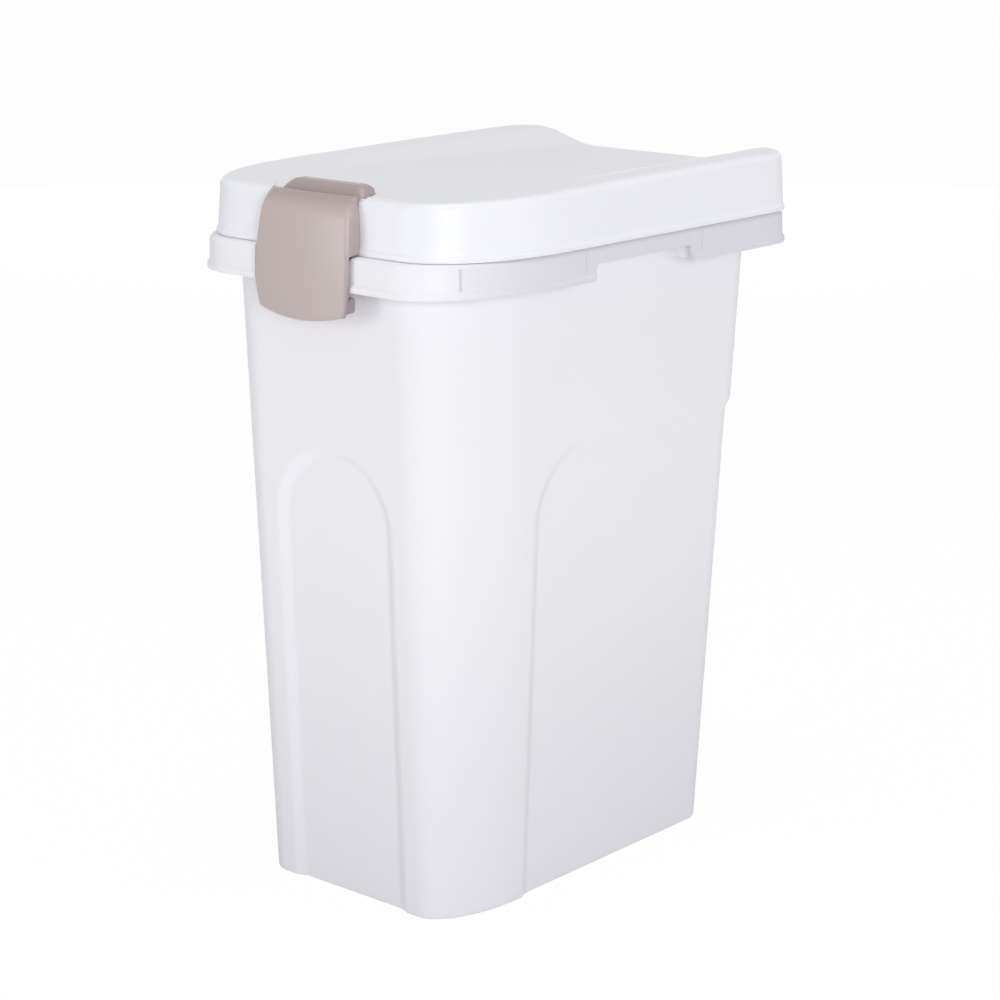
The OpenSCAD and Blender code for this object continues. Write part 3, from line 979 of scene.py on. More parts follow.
    def skin(self) -> Piece:
        """Builds the tub's closed skin from its foot round the rim and down to its floor.

        Returns:
            The skin, with the panels not yet sunk.
        """
        foot_w, foot_h = self.foot
        under, back, crest = RIM_TOP - self.flange_t, self.lip + self.apron_t, RIM_TOP + self.upstand
        apron, inner = self.apron_low, self.foot[1] + self.floor
        for share in self.fan_shares:
            self.add_body(foot_w + self.foot_fillet, foot_h, share)
        body = [(foot_w + self.foot_fillet, foot_h), *shifted(self.foot_inside, foot_w, 0), *self.foot_outside]
        body += [(0, z) for z in self.wall_heights()]
        for inset, z in [*body, *shifted(self.flange_root, 0, under)]:
            self.add_body(inset, z)
        rim = [*shifted(self.apron_inside, back, under), *shifted(self.apron_foot, back, apron),
               *shifted(self.apron_edge, 0, apron)]
        rim += [(self.lip + self.rim_inset + self.rim_round * (1 - math.cos(a)),
                 RIM_TOP - self.rim_round * (1 - math.sin(a))) for a in quarter(self.rim_steps)]
        for inset, z in rim:
            self.add_rim(inset, z)
        body = [*shifted(self.upstand_foot, 0, RIM_TOP), *shifted(self.upstand_outside, 0, crest),
                *shifted(self.upstand_inside, self.wall, crest)]
        body += [(self.wall, z) for z in reversed(self.wall_heights()) if z > self.floor + self.floor_clear]
        body += [(self.wall + self.floor_r * (1 - math.cos(a)), inner + self.floor_r * (1 - math.sin(a)))
                 for a in quarter(self.floor_steps)]
        for inset, z in body:
            self.add_body(inset, z)
        for share in reversed(self.fan_shares):
            self.add_body(self.wall + self.floor_r, inner, share)
        return loft("tub_shell", self.rings, {"edge": self.edges, "inward": self.inward})

    def panel_rule(self) -> ShapeRule:
        """The rule that sinks the arch in front and the panel that runs round the sides and the rear.

        Returns:
            The tree, which moves each point of the wall inwards by how far it lies inside a panel.
        """
        rule = ShapeRule("Recessed panels", {
            "Shoulder": self.shoulder, "Arch Radius": self.arch_r,
            "Panel Top": self.panel_top, "Side Start": self.side_start, "Side Radius": self.side_r,
            "Corner End": self.corner_end})
        t, given = rule.tree, rule.given
        place = t.split(t.attribute("edge"))

        def inside(across: Socket, radius: Socket) -> Socket:
            """How far a point lies inside a panel whose upper end has a radius."""
            over = t.above(t.sub(place[2], t.sub(given["Panel Top"], radius)))
            return t.sub(radius, t.length(across, over))

        ahead = t.above(t.sub(t.add(given["Side Start"], given["Side Radius"]), place[1]))
        arch, side = inside(place[0], given["Arch Radius"]), inside(ahead, given["Side Radius"])
        in_front = t.math("LESS_THAN", place[1], given["Corner End"])
        reach = t.add(t.mul(in_front, arch), t.mul(t.sub(1.0, in_front), side))
        sink = t.ramp(reach, 0.0, given["Shoulder"])
        rule.move(t.node("ShaderNodeVectorMath", {0: t.attribute("inward"), "Scale": sink}, operation="SCALE"))
        return rule

    def cutters(self) -> list[Piece]:
        """The shapes of the two hand holds and of the latch recess.

        Returns:
            The closed shapes.
        """
        (start, end), (ahead, over) = self.hold_span, self.recess_past
        low, top = self.apron_low - self.past, self.apron_low + self.hold_h
        outline = rounded([(start - self.hold_lean, low, 0), (start, top, self.hold_r), (end, top, self.hold_r),
                           (end + self.hold_lean, low, 0)])
        edges = self.rim.half - self.lip - self.apron_t - self.past, self.rim.half + self.past
        made = [prism("hold", outline, *side.span(*edges)) for side in Side]
        recess = oblong(self.rim.front - ahead, RECESS_BACK, low, RIM_TOP + over)
        return [*made, prism("recess", recess, -self.recess_half, self.recess_half)]

    def latch_walls(self) -> Piece:
        """The walls behind and beside the latch recess, with the bead that the hook clicks past.

        Returns:
            The walls as one piece.
        """
        low, top, half = self.apron_low, RIM_TOP - self.top_gap, self.recess_half
        back = oblong(RECESS_BACK, RECESS_BACK + self.apron_t, low, top)
        ahead, behind, above = self.cheek_inset
        side_wall = oblong(self.rim.front + self.lip + ahead, RECESS_BACK + behind, low + above, top)
        bead_y, bead_z, bead_r = self.bead
        return join("tub_latch_recess", [
            prism("back", back, -half - self.cheek, half + self.cheek),
            *(prism("cheek", side_wall, *side.span(half, half + self.cheek)) for side in Side),
            bar("bead", self.bead_gap - half, half - self.bead_gap, (RECESS_BACK + bead_y, low + bead_z),
                bead_r, 32)])

    def gussets(self, plain: Material, darker: Material) -> list[Piece]:
        """The ribs between the wall and the apron, and the walls that close the hand holds' ends.

        Args:
            plain: The tub's plastic, for the walls.
            darker: The plastic of the ribs, a darker copy of the tub's as painted shade, whose ends show faintly in
                the apron's face as the dark line of their shade.

        Returns:
            The ribs and the walls, as one piece each.
        """
        inner, face = self.body(self.apron_low).half - 1, self.rim.half - self.lip

        def across(past: float, reach: float) -> list[tuple[Point, Point]]:
            """A rib past each end of a hand hold, out to reach."""
            return [((inner, y), (reach, y)) for y in (self.hold_span[0] - past, self.hold_span[1] + past)]

        end, way = Vector(self.corner_rib), Vector(self.corner_way)
        corner = (end - way * self.corner_reach, end + way * self.rib_end)
        ribs = [*across(self.rib_at, face + self.rib_end), corner]
        closing = across(self.hold_lean + self.end_at, face - self.apron_t / 2)
        return [self.rib_set("tub_gussets", ribs, darker), self.rib_set("tub_hold_ends", closing, plain)]

    def rib_set(self, name: str, spans: Sequence[tuple[Sequence[float], Sequence[float]]],
                material: Material) -> Piece:
        """Sets a rib under the rim along each span, on both sides.

        Args:
            name: The piece's name.
            spans: Start and end of each rib, seen from above.
            material: The ribs' plastic.

        Returns:
            The ribs as one piece.
        """
        points, turns, reaches = [], [], []
        for side in Side:
            for a, b in spans:
                start, end = Vector((a[0] * side, a[1])), Vector((b[0] * side, b[1]))
                run = end - start
                points.append((*((start + end) / 2), self.apron_low + self.rib_lift + self.rib_h / 2))
                turns.append(math.atan2(run.y, run.x))
                reaches.append(run.length * MM)
        seeds = add_mesh(name, points, [])
        for key, values in (("turn", turns), ("reach", reaches)):
            seeds.data.attributes.new(key, "FLOAT", "POINT").data.foreach_set("value", values)
        rule = ShapeRule("Ribs under the rim", {"Thickness": self.rib_t, "Height": self.rib_h})
        t, given = rule.tree, rule.given
        size = t.node("ShaderNodeCombineXYZ", {0: 1.0, 1: given["Thickness"], 2: given["Height"]})
        rib = t.node("GeometryNodeMeshCube", {"Size": size.outputs[0]})
        turn = t.node("ShaderNodeCombineXYZ", {2: t.attribute("turn", "FLOAT")})
        stretch = t.node("ShaderNodeCombineXYZ", {0: t.attribute("reach", "FLOAT"), 1: 1.0, 2: 1.0})
        places = t.node("GeometryNodeMeshToPoints", {"Mesh": given["Geometry"]})
        rule.close(t.node("GeometryNodeInstanceOnPoints", {
            "Points": places.outputs[0], "Instance": rib.outputs[0], "Rotation": turn.outputs[0],
            "Scale": stretch.outputs[0]}))
        return rule.apply(seeds, material)

    def hinge_lugs(self) -> Piece:
        """The four lugs that hold the hinge pins.

        Returns:
            The lugs as one piece, with their bores.
        """
        (y, z), top = self.hinge.axis, RIM_TOP - self.top_gap
        back = self.rim.rear - self.lip - self.apron_t
        outline = [(back, z - self.hinge.radius), *self.hinge.nose(-90, 60, 10), (y, top), (back, top)]
        return join("tub_hinge_lugs", [
            self.hinge.part(outline, x, self.lug_l, self.lug_bore, self.lug_soft, 2)
            for side in Side for x in self.hinge.lugs(side)])

    def build(self, plastic: Plastic, rib_plastic: Plastic) -> None:
        """Builds and dresses the tub's pieces.

        Args:
            plastic: The tub's finish.
            rib_plastic: The finish of the ribs under the rim, a darker copy of the tub's as painted shade.
        """
        material = plastic.build()
        shell = self.panel_rule().apply(self.skin(), material)
        merge(shell)
        cut(shell, *self.cutters())
        finish_piece(shell, Body.TUB, material)
        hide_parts("tub")
        finish_piece(soften(self.latch_walls(), self.soft), Body.TUB, material)
        darker = rib_plastic.build()
        for ribs, finish in zip(self.gussets(material, darker), (darker, material)):
            finish_piece(soften(ribs, self.soft), Body.TUB, finish)
        finish_piece(self.hinge_lugs(), Body.TUB, material)


# ---- Lid ----


@dataclass
class Lid:
    """The lid with its skirt, ridges, dished top, clip pocket, seal groove and knuckles."""

    edge: Outline = Outline(108.5, -144.5, 154.2, 60.0, -59.4, 2.2, 24.5)
    mouth: Outline = Outline(94.0, -137.9, 129.1, 52.0, -68.0, 2.0, 17.0)
    low: float = 376.08
    height: float = 30.72
    rise: float = 3.6
    wall: float = 2.2
    edge_r: float = 4.4
    edge_steps: int = 10
    inner_r: float = 2.8
    inner_steps: int = 5
    inner_foot: float = 4.0
    lean: float = 1.6
    lip: float = 1.0
    lip_h: float = 4.4
    lip_edge: Profile = ((0.8, 0), (0.3, 0.2), (0.05, 0.7), (0, 1.3), (0, 2.4), (0.12, 3.0), (0.45, 3.5),
                         (0.8, 3.8))
    skirt_shares: tuple[float, ...] = (0.12, 0.25, 0.5, 0.75, 0.9)
    inner_shares: tuple[float, ...] = (0.75, 0.5, 0.25)
    inner_edge: float = 0.4
    under_edge: float = 0.6
    upper_edge: float = 0.01
    spine_shares: tuple[float, ...] = (0.98, 0.95, *np.linspace(0.91, 0.0, 34))
    spine: Point = (-50.0, 75.0)  # its front and rear ends
    dish_depth: float = 9.6
    dish_run: float = 138.0
    dish_rear: float = 42.0
    dish_front: float = 59.0
    dish_crest: float = 88.0
    dish_power: float = 3.0
    past: Point = (5.0, 9.0)  # how far cutters stand out ahead and above
    pocket_r: float = 9.0
    pocket_half: float = 31.7
    pocket_corner: float = 13.0
    pocket_steps: int = 10
    pocket_drop: float = 1.9
    relief: Triple = (4.1, 0.2, 3.5)  # drop in front, drop at the rear, extra half width
    relief_r: float = 1.6
    trough: Point = (200.0, 368.0)  # where its round starts and ends, in degrees
    trough_steps: int = 40
    pin_half: float = 38.2
    pin_drop: float = 1.2
    pin_r: float = 1.5
    mark_half: float = 42.4
    mark_r: float = 0.8
    mark_depth: float = 4.0
    slit: Triple = (6.5, 0.25, 0.9)  # length, half width, depth
    seal_low: float = 383.3
    groove: Point = (-1.1, 3.3)  # insets of its sides
    groove_wall: float = 1.6
    groove_h: Triple = (0.8, 5.0, 5.6)  # its mouth, its roof and the hanger above the seal
    hinge: Hinge = Hinge()
    knuckle_l: float = 19.4
    knuckle_bore: float = 1.48
    knuckle_soft: float = 0.5
    web_front: Profile = ((1.6, 9.0),)
    web_rear: Profile = ((-2.0, 14.0), (-2.4, 14.0))
    web_low: float = 0.8
    lug_room: float = 0.4
    lug_half: float = 3.4

    @property
    def top(self) -> float:
        """Height of the lid's front."""
        return self.low + self.height

    def inward_rings(self, inset: float, z: float) -> list[Ring]:
        """Rings that close the lid's top, or its underside, from its edge to its spine.

        Args:
            inset: Distance of the full ring inside the edge.
            z: Height before the top is shaped.

        Returns:
            The rings.
        """
        full = self.edge.ring(inset, z)
        spine = full.copy()
        spine[:, 0] = 0
        spine[:, 1] = np.clip(full[:, 1], *self.spine)
        return [spine + (full - spine) * s for s in self.spine_shares]

    def skin(self) -> Piece:
        """Builds the lid's closed skin: under the top, down the inside, up the skirt and over the top.

        Returns:
            The skin, with its top still level and each point's share of the top's shape beside it.
        """
        lean = self.lip + self.lean
        inner, under, rim = lean + self.edge_r, self.top - self.wall, self.top - self.edge_r
        foot, wall = self.low + self.inner_foot, self.lip + self.wall
        wall_h, skirt = under - self.inner_r - foot, self.low + self.lip_h
        steps = [(inner + self.under_edge - self.inner_r * math.sin(a), under - self.inner_r * (1 - math.cos(a)), 1.0)
                 for a in quarter(self.inner_steps)]
        steps += [(wall + self.lean * s, foot + wall_h * s, s) for s in self.inner_shares]
        steps += [(wall, self.low + self.inner_edge, 0.0), (wall - self.inner_edge, self.low, 0.0)]
        steps += [(inset, z, 0.0) for inset, z in shifted((*self.lip_edge, (self.lip, self.lip_h)), 0, self.low)]
        steps += [(self.lip + self.lean * s, skirt + (rim - skirt) * s, s) for s in self.skirt_shares]
        steps += [(lean + self.edge_r * (1 - math.cos(a)), rim + self.edge_r * math.sin(a), 1.0)
                  for a in quarter(self.edge_steps)]
        below = self.inward_rings(inner + self.under_edge, under)[::-1]
        above = self.inward_rings(inner + self.upper_edge, self.top)
        rings = [*below, *(self.edge.ring(inset, z) for inset, z, _ in steps), *above]
        shares = [*(1.0 for _ in below), *(share for _, _, share in steps), *(1.0 for _ in above)]
        return loft("lid_shell", rings, {"crown": [np.full(len(rings[0]), share) for share in shares]})

    def dish_rule(self) -> ShapeRule:
        """The rule that lifts the ridges towards the rear and sinks the dish between them.

        Returns:
            The tree, which moves each point up or down by its share of the top's shape.
        """
        rule = ShapeRule("Ridges and dish", {
            "Rise": self.rise, "Depth": self.dish_depth, "Front": self.edge.front, "Rear": self.edge.rear,
            "Run": self.dish_run, "Rear Half": self.dish_rear, "Front Half": self.dish_front,
            "Crest": self.dish_crest})
        t, given = rule.tree, rule.given
        place = t.split(t.node("GeometryNodeInputPosition").outputs[0])
        length = t.sub(given["Rear"], given["Front"])

        def ridge(y: Socket) -> Socket:
            """Height of the ridges above the lid's front at y."""
            back = t.math("DIVIDE", t.sub(given["Rear"], y), length)
            return t.mul(given["Rise"], t.sub(1.0, t.mul(back, back)))

        here = ridge(place[1])
        start = t.mul(given["Run"], -1.0)
        bottom = t.ramp(place[1], start, given["Rear"], ridge(start), t.sub(given["Rise"], given["Depth"]),
                        soft=False)
        along = t.ramp(place[1], given["Front"], given["Rear"], soft=False)
        half = t.ramp(t.math("POWER", along, self.dish_power), 0.0, 1.0, given["Front Half"],
                      given["Rear Half"], soft=False)
        slope = t.ramp(t.math("ABSOLUTE", place[0]), half, given["Crest"], 1.0, 0.0)
        shape = t.sub(here, t.mul(t.above(t.sub(here, bottom)), slope))
        rule.move(t.node("ShaderNodeCombineXYZ", {2: t.mul(shape, t.attribute("crown", "FLOAT"))}))
        return rule

    def notch(self) -> Piece:
        """The opening for the clip's arm and barrel.

        Returns:
            The opening as a closed shape.
        """
        (y, z), (ahead, over) = CLIP_AXIS, self.past
        front, half, bend = self.edge.front - ahead, self.pocket_half, self.pocket_corner
        rear = y + math.sqrt(self.pocket_r ** 2 - (self.top - 0.5 - z) ** 2)
        plan = rounded([(-half, front, 0), (half, front, 0), (half, rear, bend), (-half, rear, bend)],
                       self.pocket_steps)
        return prism("notch", plan, z - self.pocket_drop, self.top + over, up=True)

    def cutters(self) -> list[Piece]:
        """The shapes of the arm's notch and relief, the marks over the pin's ends and the lugs' room.

        Returns:
            The closed shapes.
        """
        y, front, over = CLIP_AXIS[0], self.edge.front - self.past[0], self.top + self.past[1]
        front_drop, rear_drop, wider = self.relief
        half = self.pocket_half + wider
        relief = prism("relief", [(front, self.top - front_drop), (y, self.top - rear_drop), (y, over),
                                  (front, over)], -half, half)
        slit_l, slit_half, slit_depth = self.slit
        slit = oblong(y - slit_half, y + slit_half, self.top - slit_depth, over)
        made = [soften(relief, self.relief_r, 4), self.notch()]
        for side in Side:
            made.append(prism("slit", slit, *side.span(self.mark_half - slit_l, self.mark_half)))
            made.append(prism("hole", circle((side * self.mark_half, y), self.mark_r, 24),
                              self.top - self.mark_depth, over, up=True))
            made += [bar("lug_room", x - self.lug_half, x + self.lug_half, self.hinge.axis,
                         self.hinge.radius + self.lug_room) for x in self.hinge.lugs(side)]
        return made

    def housing(self) -> Piece:
        """The trough and end bosses that carry the clip's barrel and pin, under the top.

        Returns:
            The housing as one piece.
        """
        y, z = CLIP_AXIS
        angles = np.linspace(*np.radians(self.trough), self.trough_steps)
        outside = arc(CLIP_AXIS, self.pocket_r + self.wall, angles)
        inside = arc(CLIP_AXIS, self.pocket_r, angles[::-1])
        parts = [prism("trough", outside + inside, -self.pocket_half, self.pocket_half)]
        for side in Side:
            parts.append(prism("end", outside, *side.span(self.pocket_half, self.pocket_half + self.wall)))
            parts.append(bar("boss", *side.span(self.pocket_half, self.pin_half + self.wall),
                             (y, z - self.pin_drop), self.pin_r + self.wall, 32))
        return join("lid_clip_housing", parts)

    def gland(self) -> Piece:
        """The groove under the lid that holds the seal.

        Returns:
            The groove's walls and roof, as a closed ring.
        """
        (a, b), rib = self.groove, self.groove_wall
        low, roof = self.seal_low + self.groove_h[0], self.seal_low + self.groove_h[1]
        profile = [(a - rib, low), (a - rib, roof + rib), (b + rib, roof + rib), (b + rib, low), (b, low),
                   (b, roof), (a, roof), (a, low)]
        return loft("lid_seal_groove", [self.mouth.ring(inset, z) for inset, z in profile], closed=True)

    def hangers(self) -> Piece:
        """The wall that carries the seal groove under the top.

        Returns:
            The wall as a closed ring, with its upper edge still level.
        """
        inset, low, high = self.groove[0], self.seal_low + self.groove_h[2], self.top - 1
        rings = [self.mouth.ring(at, z) for at, z in (
            (inset - self.groove_wall, low), (inset - self.groove_wall, high), (inset, high), (inset, low))]
        crown = [np.full(len(rings[0]), c) for c in (0.0, 1.0, 1.0, 0.0)]
        return loft("lid_inner_wall", rings, {"crown": crown}, closed=True)

    def knuckles(self) -> Piece:
        """The two knuckles that turn on the hinge pins.

        Returns:
            The knuckles as one piece, with their bores.
        """
        y, z = self.hinge.axis
        outline = [*self.hinge.nose(180, 360, 12), *shifted(self.web_front, y, z),
                   *shifted(self.web_rear, self.edge.rear, z), (y - self.hinge.radius, self.low + self.web_low)]
        return join("lid_knuckles", [
            self.hinge.part(outline, side * self.hinge.x, self.knuckle_l, self.knuckle_bore, self.knuckle_soft, 3)
            for side in Side])

    def build(self, plastic: Plastic) -> None:
        """Builds and dresses the lid's pieces.

        Args:
            plastic: The lid's finish.
        """
        material = plastic.build()
        rule = self.dish_rule()
        shell = rule.apply(self.skin(), material)
        merge(shell)
        cut(shell, *self.cutters())
        finish_piece(shell, Body.LID, material)
        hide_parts("lid")
        wall = rule.apply(self.hangers(), material)
        cut(wall, self.notch())
        for part in (wall, self.gland(), self.housing(), self.knuckles()):
            finish_piece(part, Body.LID, material)


# ---- Clip ----


@dataclass
class Clip:
    """The front clip: plate, side returns, arm, barrel and hook in one moulding.

    Each profile is a row of steps back and up from where it starts.
    """

    half: float = 35.0
    narrowing: float = 3.6
    upper_taper: Point = (0.35, 2.4)  # share of the height where it starts, power
    lower_taper: Point = (0.3, 1.6)  # share of the height where it ends, power
    barrel_half: float = 31.4
    barrel_r: float = 8.4
    barrel_corner: float = 13.5
    barrel_end: float = 10.0
    barrel_drop: float = 5.8
    barrel_arc: Point = (-160.0, 138.0)  # in degrees
    barrel_steps: int = 44
    drop_from: float = 2.0
    arm_slices: tuple[int, int] = (6, 16)  # straight, round
    crest_r: float = 8.75
    crest_top: float = 411.8
    crest_from: Point = (0.3, 0.4)  # sine at which the crest starts, and its run
    valley: Profile = ((0.8, 4.2), (0, 2.9), (-1.0, 1.8), (-2.2, 1.3), (-3.4, 1.5), (-4.2, 2.2))
    arm_top: Profile = ((4.4, -0.3), (3.4, -0.1), (2.2, -0.9))
    arm_front: Profile = ((0.3, 0), (0.6, -1.6))
    face: float = -157.5
    wall: float = 2.2
    bottom: float = 339.7
    top_rise: float = 3.6
    lower_edge: tuple[float, ...] = (0, 0.3, 0.9, 1.8, 3.0)
    columns: tuple[tuple[float, float, int], ...] = ((-1, -0.9, 9), (-0.88, 0.88, 31), (0.9, 1, 9))
    plain_from: float = 4.5
    plain_levels: tuple[int, int] = (20, 26)  # below and above the step
    bulge: float = 2.2
    edge_r: float = 3.0
    edge_least: float = 0.4
    return_wall: float = 0.5
    return_least: Point = (0.4, 0.2)  # least depth of a return, outside and inside
    sag: Point = (4.2, 26.0)  # depth, height over which it fades
    nose: Point = (1.6, 1.8)  # depth, height over which it fades
    nose_share: float = 0.6
    lean: Point = (12.0, 520.0)  # height where the plate starts to lean, divisor of its curve
    brow: Point = (7.6, 13.0)  # how far below the axis its round starts, radius
    bore_r: float = 1.58
    bore_half: float = 40.0
    lid: Point = (-144.5, 377.6)  # front and lower edge of the skirt that the returns follow
    lid_lip: Point = (1.0, 4.5)  # depth, height
    lid_slope: Point = (1.6, 29.2)  # lean, height
    step: float = 0.8
    gap: float = 0.3
    apron: float = 357.4
    hook_half: float = 32.1
    hook_inset: float = 1.3
    hook_drop: float = 3.2
    hook_h: float = 8.6
    hook_lower: Profile = ((-1, 0.4), (0, 1.4))
    hook_upper: Profile = ((0, -0.8), (-0.8, 0), (-3.6, 0), (-5, -1.6))
    hook_root: Point = (0.9, 3.0)  # gap behind the plate, drop below the top
    hook_core: Triple = (-0.6, 1.2, 9.0)  # start, end, inset of its ends
    voxel: float = 0.42
    ease: tuple[float, int] = (0.5, 5)  # factor, rounds
    kept: float = 0.45
    sharp: float = 50.0

    @property
    def plate_top(self) -> float:
        """Height of the plate's top edge."""
        return CLIP_AXIS[1] + self.top_rise

    def face_y(self, z: float) -> float:
        """How far forward the plate's middle stands at height z.

        Args:
            z: The height.

        Returns:
            Its place along Y.
        """
        (lean_at, lean_r), (brow_at, brow_r) = self.lean, self.brow
        back = max(0.0, z - (self.bottom + lean_at)) ** 2 / lean_r
        over = max(0.0, z - (CLIP_AXIS[1] - brow_at))
        return self.face + back + brow_r - math.sqrt(brow_r ** 2 - over ** 2)

    def half_width(self, z: float) -> float:
        """Half width of the plate at height z.

        Args:
            z: The height.

        Returns:
            The half width.
        """
        t = (z - self.bottom) / (self.plate_top - self.bottom)
        (upper, upper_power), (lower, lower_power) = self.upper_taper, self.lower_taper
        top = self.narrowing * (max(0.0, t - upper) / (1 - upper)) ** upper_power
        low = self.narrowing * (max(0.0, lower - t) / lower) ** lower_power
        return self.half - top - low

    def return_y(self, z: float) -> float:
        """How far back the side returns reach at height z.

        Args:
            z: The height.

        Returns:
            Their place along Y.
        """
        (front, low), (inset, lip_h), (lean, height) = self.lid, self.lid_lip, self.lid_slope
        if z < RIM_TOP + self.step:
            return RIM_FRONT - self.gap
        if z < low + lip_h:
            return front - self.gap
        return front + inset - self.gap + lean * (z - low - lip_h) / (height - lip_h)

    def plate_ring(self, z: float, spread: np.ndarray) -> Ring:
        """One level of the plate: its face, the ends of its returns and its back.

        Args:
            z: Height of the level's middle.
            spread: Where its columns stand, from -1 to 1.

        Returns:
            The level as a closed ring.
        """
        half, front_y, back_y = self.half_width(z), self.face_y(z), self.return_y(z)
        droop = self.sag[0] * max(0.0, 1 - (z - self.bottom) / self.sag[1])
        nose = self.nose[0] * max(0.0, 1 - (z - self.bottom) / self.nose[1]) ** 2
        bend = max(self.edge_least, min(self.edge_r, back_y - self.return_wall - front_y - self.bulge))
        x = spread * half
        corner = np.clip((np.abs(x) - half + bend) / bend, 0, 1)
        face = front_y + nose * self.nose_share + self.bulge * spread ** 2 + bend * (1 - np.sqrt(1 - corner ** 2))
        back = front_y + self.bulge * spread ** 2 + self.wall
        level = z + droop * spread ** 2
        outer = np.column_stack([x, face, level])
        inner = np.column_stack([spread * (half - self.wall), back, level])[::-1]
        far, near = (max(back_y, at[-1] + least) for at, least in zip((face, back), self.return_least))
        ends = [(half, far, level[-1]), (half - self.wall, near, level[-1])]
        others = [(-half + self.wall, near, level[0]), (-half, far, level[0])]
        return np.concatenate([outer, ends, inner, others])

    def plate(self) -> Piece:
        """The bent plate with its side returns, as a closed strip that climbs from its lower edge.

        Returns:
            The plate.
        """
        spread = np.concatenate([np.linspace(*part) for part in self.columns])
        step, (below, above) = RIM_TOP + self.step, self.plain_levels
        heights = np.concatenate([
            self.bottom + np.array(self.lower_edge),
            np.linspace(self.bottom + self.plain_from, step - self.gap, below),
            np.linspace(step + self.gap, self.plate_top, above)])
        rings = [self.plate_ring(z, spread) for z in heights]
        n, last = len(spread), (len(rings) - 1) * len(rings[0])
        strip = [(i, n + 2 + n - 1 - i) for i in range(n)]
        ends: list[Sequence[int]] = []
        for (a, b), (c, d) in zip(strip, strip[1:]):
            ends += [(a, b, d, c), (last + a, last + c, last + d, last + b)]
        right, left = (n - 1, n, n + 1, n + 2), (0, 2 * n + 1, 2 * n + 2, 2 * n + 3)
        ends += [right[::-1], [last + i for i in right], left, [last + i for i in left[::-1]]]
        return loft("plate", rings, ends=ends)

    def arm_profile(self) -> np.ndarray:
        """The arm and the barrel, cut at their middle, one point a row.

        Returns:
            The closed outline in Y and Z.
        """
        y, z = CLIP_AXIS
        r, front = self.barrel_r, self.face_y(z) + self.bulge
        barrel = []
        for a in np.linspace(*(math.radians(end) for end in self.barrel_arc), self.barrel_steps):
            share = smooth((math.sin(a) - self.crest_from[0]) / self.crest_from[1])
            reach = r + (self.crest_r - r) * share
            barrel.append((y + reach * math.cos(a), min(z + reach * math.sin(a), self.crest_top)))
        return np.array([*barrel, *shifted(self.valley, y - r, z), *shifted(self.arm_top, front, self.plate_top),
                         *shifted(self.arm_front, front, z)])

    def arm(self) -> Piece:
        """The arm and the barrel, as slices along X that shrink towards rounded ends.

        Returns:
            The arm.
        """
        (y, z), r, bend, end = CLIP_AXIS, self.barrel_r, self.barrel_corner, self.barrel_end
        profile = self.arm_profile()
        straight, (plain, round_off) = self.barrel_half - bend, self.arm_slices
        places = [straight * i / plain for i in range(plain + 1)]
        places += [straight + bend * math.sin(a) for a in quarter(round_off, 1)]
        slices = []
        for x in places:
            over, edge = max(0.0, x - straight), max(0.0, x - self.barrel_half + end)
            rear = y + r - bend + math.sqrt(max(0.0, bend ** 2 - over ** 2))
            drop = min(end - math.sqrt(max(0.0, end ** 2 - edge ** 2)), self.barrel_drop)
            across = np.minimum(profile[:, 0], rear)
            up = profile[:, 1] - drop * np.clip((profile[:, 1] - z - self.drop_from) / (r - self.drop_from), 0, 1)
            slices.append(np.column_stack([np.full(len(profile), x), across, up]))
        rings = [s * np.array([-1, 1, 1]) for s in slices[:0:-1]] + slices
        count, last = len(profile), (len(rings) - 1) * len(profile)
        made = loft("arm", rings, ends=[range(count - 1, -1, -1), range(last, last + count)])
        with editing(made.data) as work:
            bmesh.ops.recalc_face_normals(work, faces=work.faces)
        return made

    def hook(self) -> Piece:
        """The hook that reaches under the rim, with a core that joins it to the plate.

        Returns:
            The hook.
        """
        nose, top, back = RECESS_BACK - self.hook_inset - self.gap, self.apron - self.hook_drop, self.face + self.wall
        low, root, root_top = top - self.hook_h, back + self.hook_root[0], top - self.hook_root[1]
        wide = [(root, low), *shifted(self.hook_lower, nose, low), *shifted(self.hook_upper, nose, top),
                (root, root_top)]
        start, end, inset = self.hook_core
        core, half = oblong(back + start, back + end, low, root_top), self.hook_half
        return join("hook", [prism("wide", wide, -half, half), prism("core", core, inset - half, half - inset)])

    def build(self, plastic: Plastic) -> None:
        """Builds the clip as one moulding with soft inner corners, and dresses it.

        Args:
            plastic: The clip's finish.
        """
        made = join("clip_body", [self.plate(), self.arm(), self.hook()])
        remesh = made.modifiers.new("one skin", "REMESH")
        remesh.mode = "VOXEL"
        remesh.voxel_size = self.voxel * MM
        ease = made.modifiers.new("ease", "SMOOTH")
        ease.factor, ease.iterations = self.ease
        made.modifiers.new("thin", "DECIMATE").ratio = self.kept
        bake(made)
        cut(made, bar("bore", -self.bore_half, self.bore_half, CLIP_AXIS, self.bore_r))
        finish_piece(made, Body.CLIP, plastic.build(), self.sharp)
        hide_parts("clip")


# ---- Small pieces kept from the frame ----


def dress_nodes(palette: Palette) -> None:
    """Gives the frame's own pins and seal their finishes.

    Args:
        palette: The finishes.
    """
    pin, seal = palette.pin.build(), palette.seal.build()
    dressed = {"clip_pin": pin, "hinge_pin_left": pin, "hinge_pin_right": pin, "lid_seal": seal}
    for name, material in dressed.items():
        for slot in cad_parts[name].material_slots:
            slot.material = material
        LOG.info("%s keeps its own shape", name)


# ---- Studio ----


@dataclass(frozen=True)
class Lamp:
    """A soft box that looks at the bin."""

    name: str
    place: Triple
    target: Triple
    size: Point
    watts: float

    def build(self) -> None:
        """Adds the lamp to the scene."""
        data = bpy.data.lights.new(self.name, "AREA")
        data.shape = "RECTANGLE"
        data.size, data.size_y = self.size
        data.energy = self.watts
        lamp = link(self.name, data)
        lamp.location = self.place
        aim = Vector(self.target) - Vector(self.place)
        lamp.rotation_euler = aim.to_track_quat("-Z", "Y").to_euler()


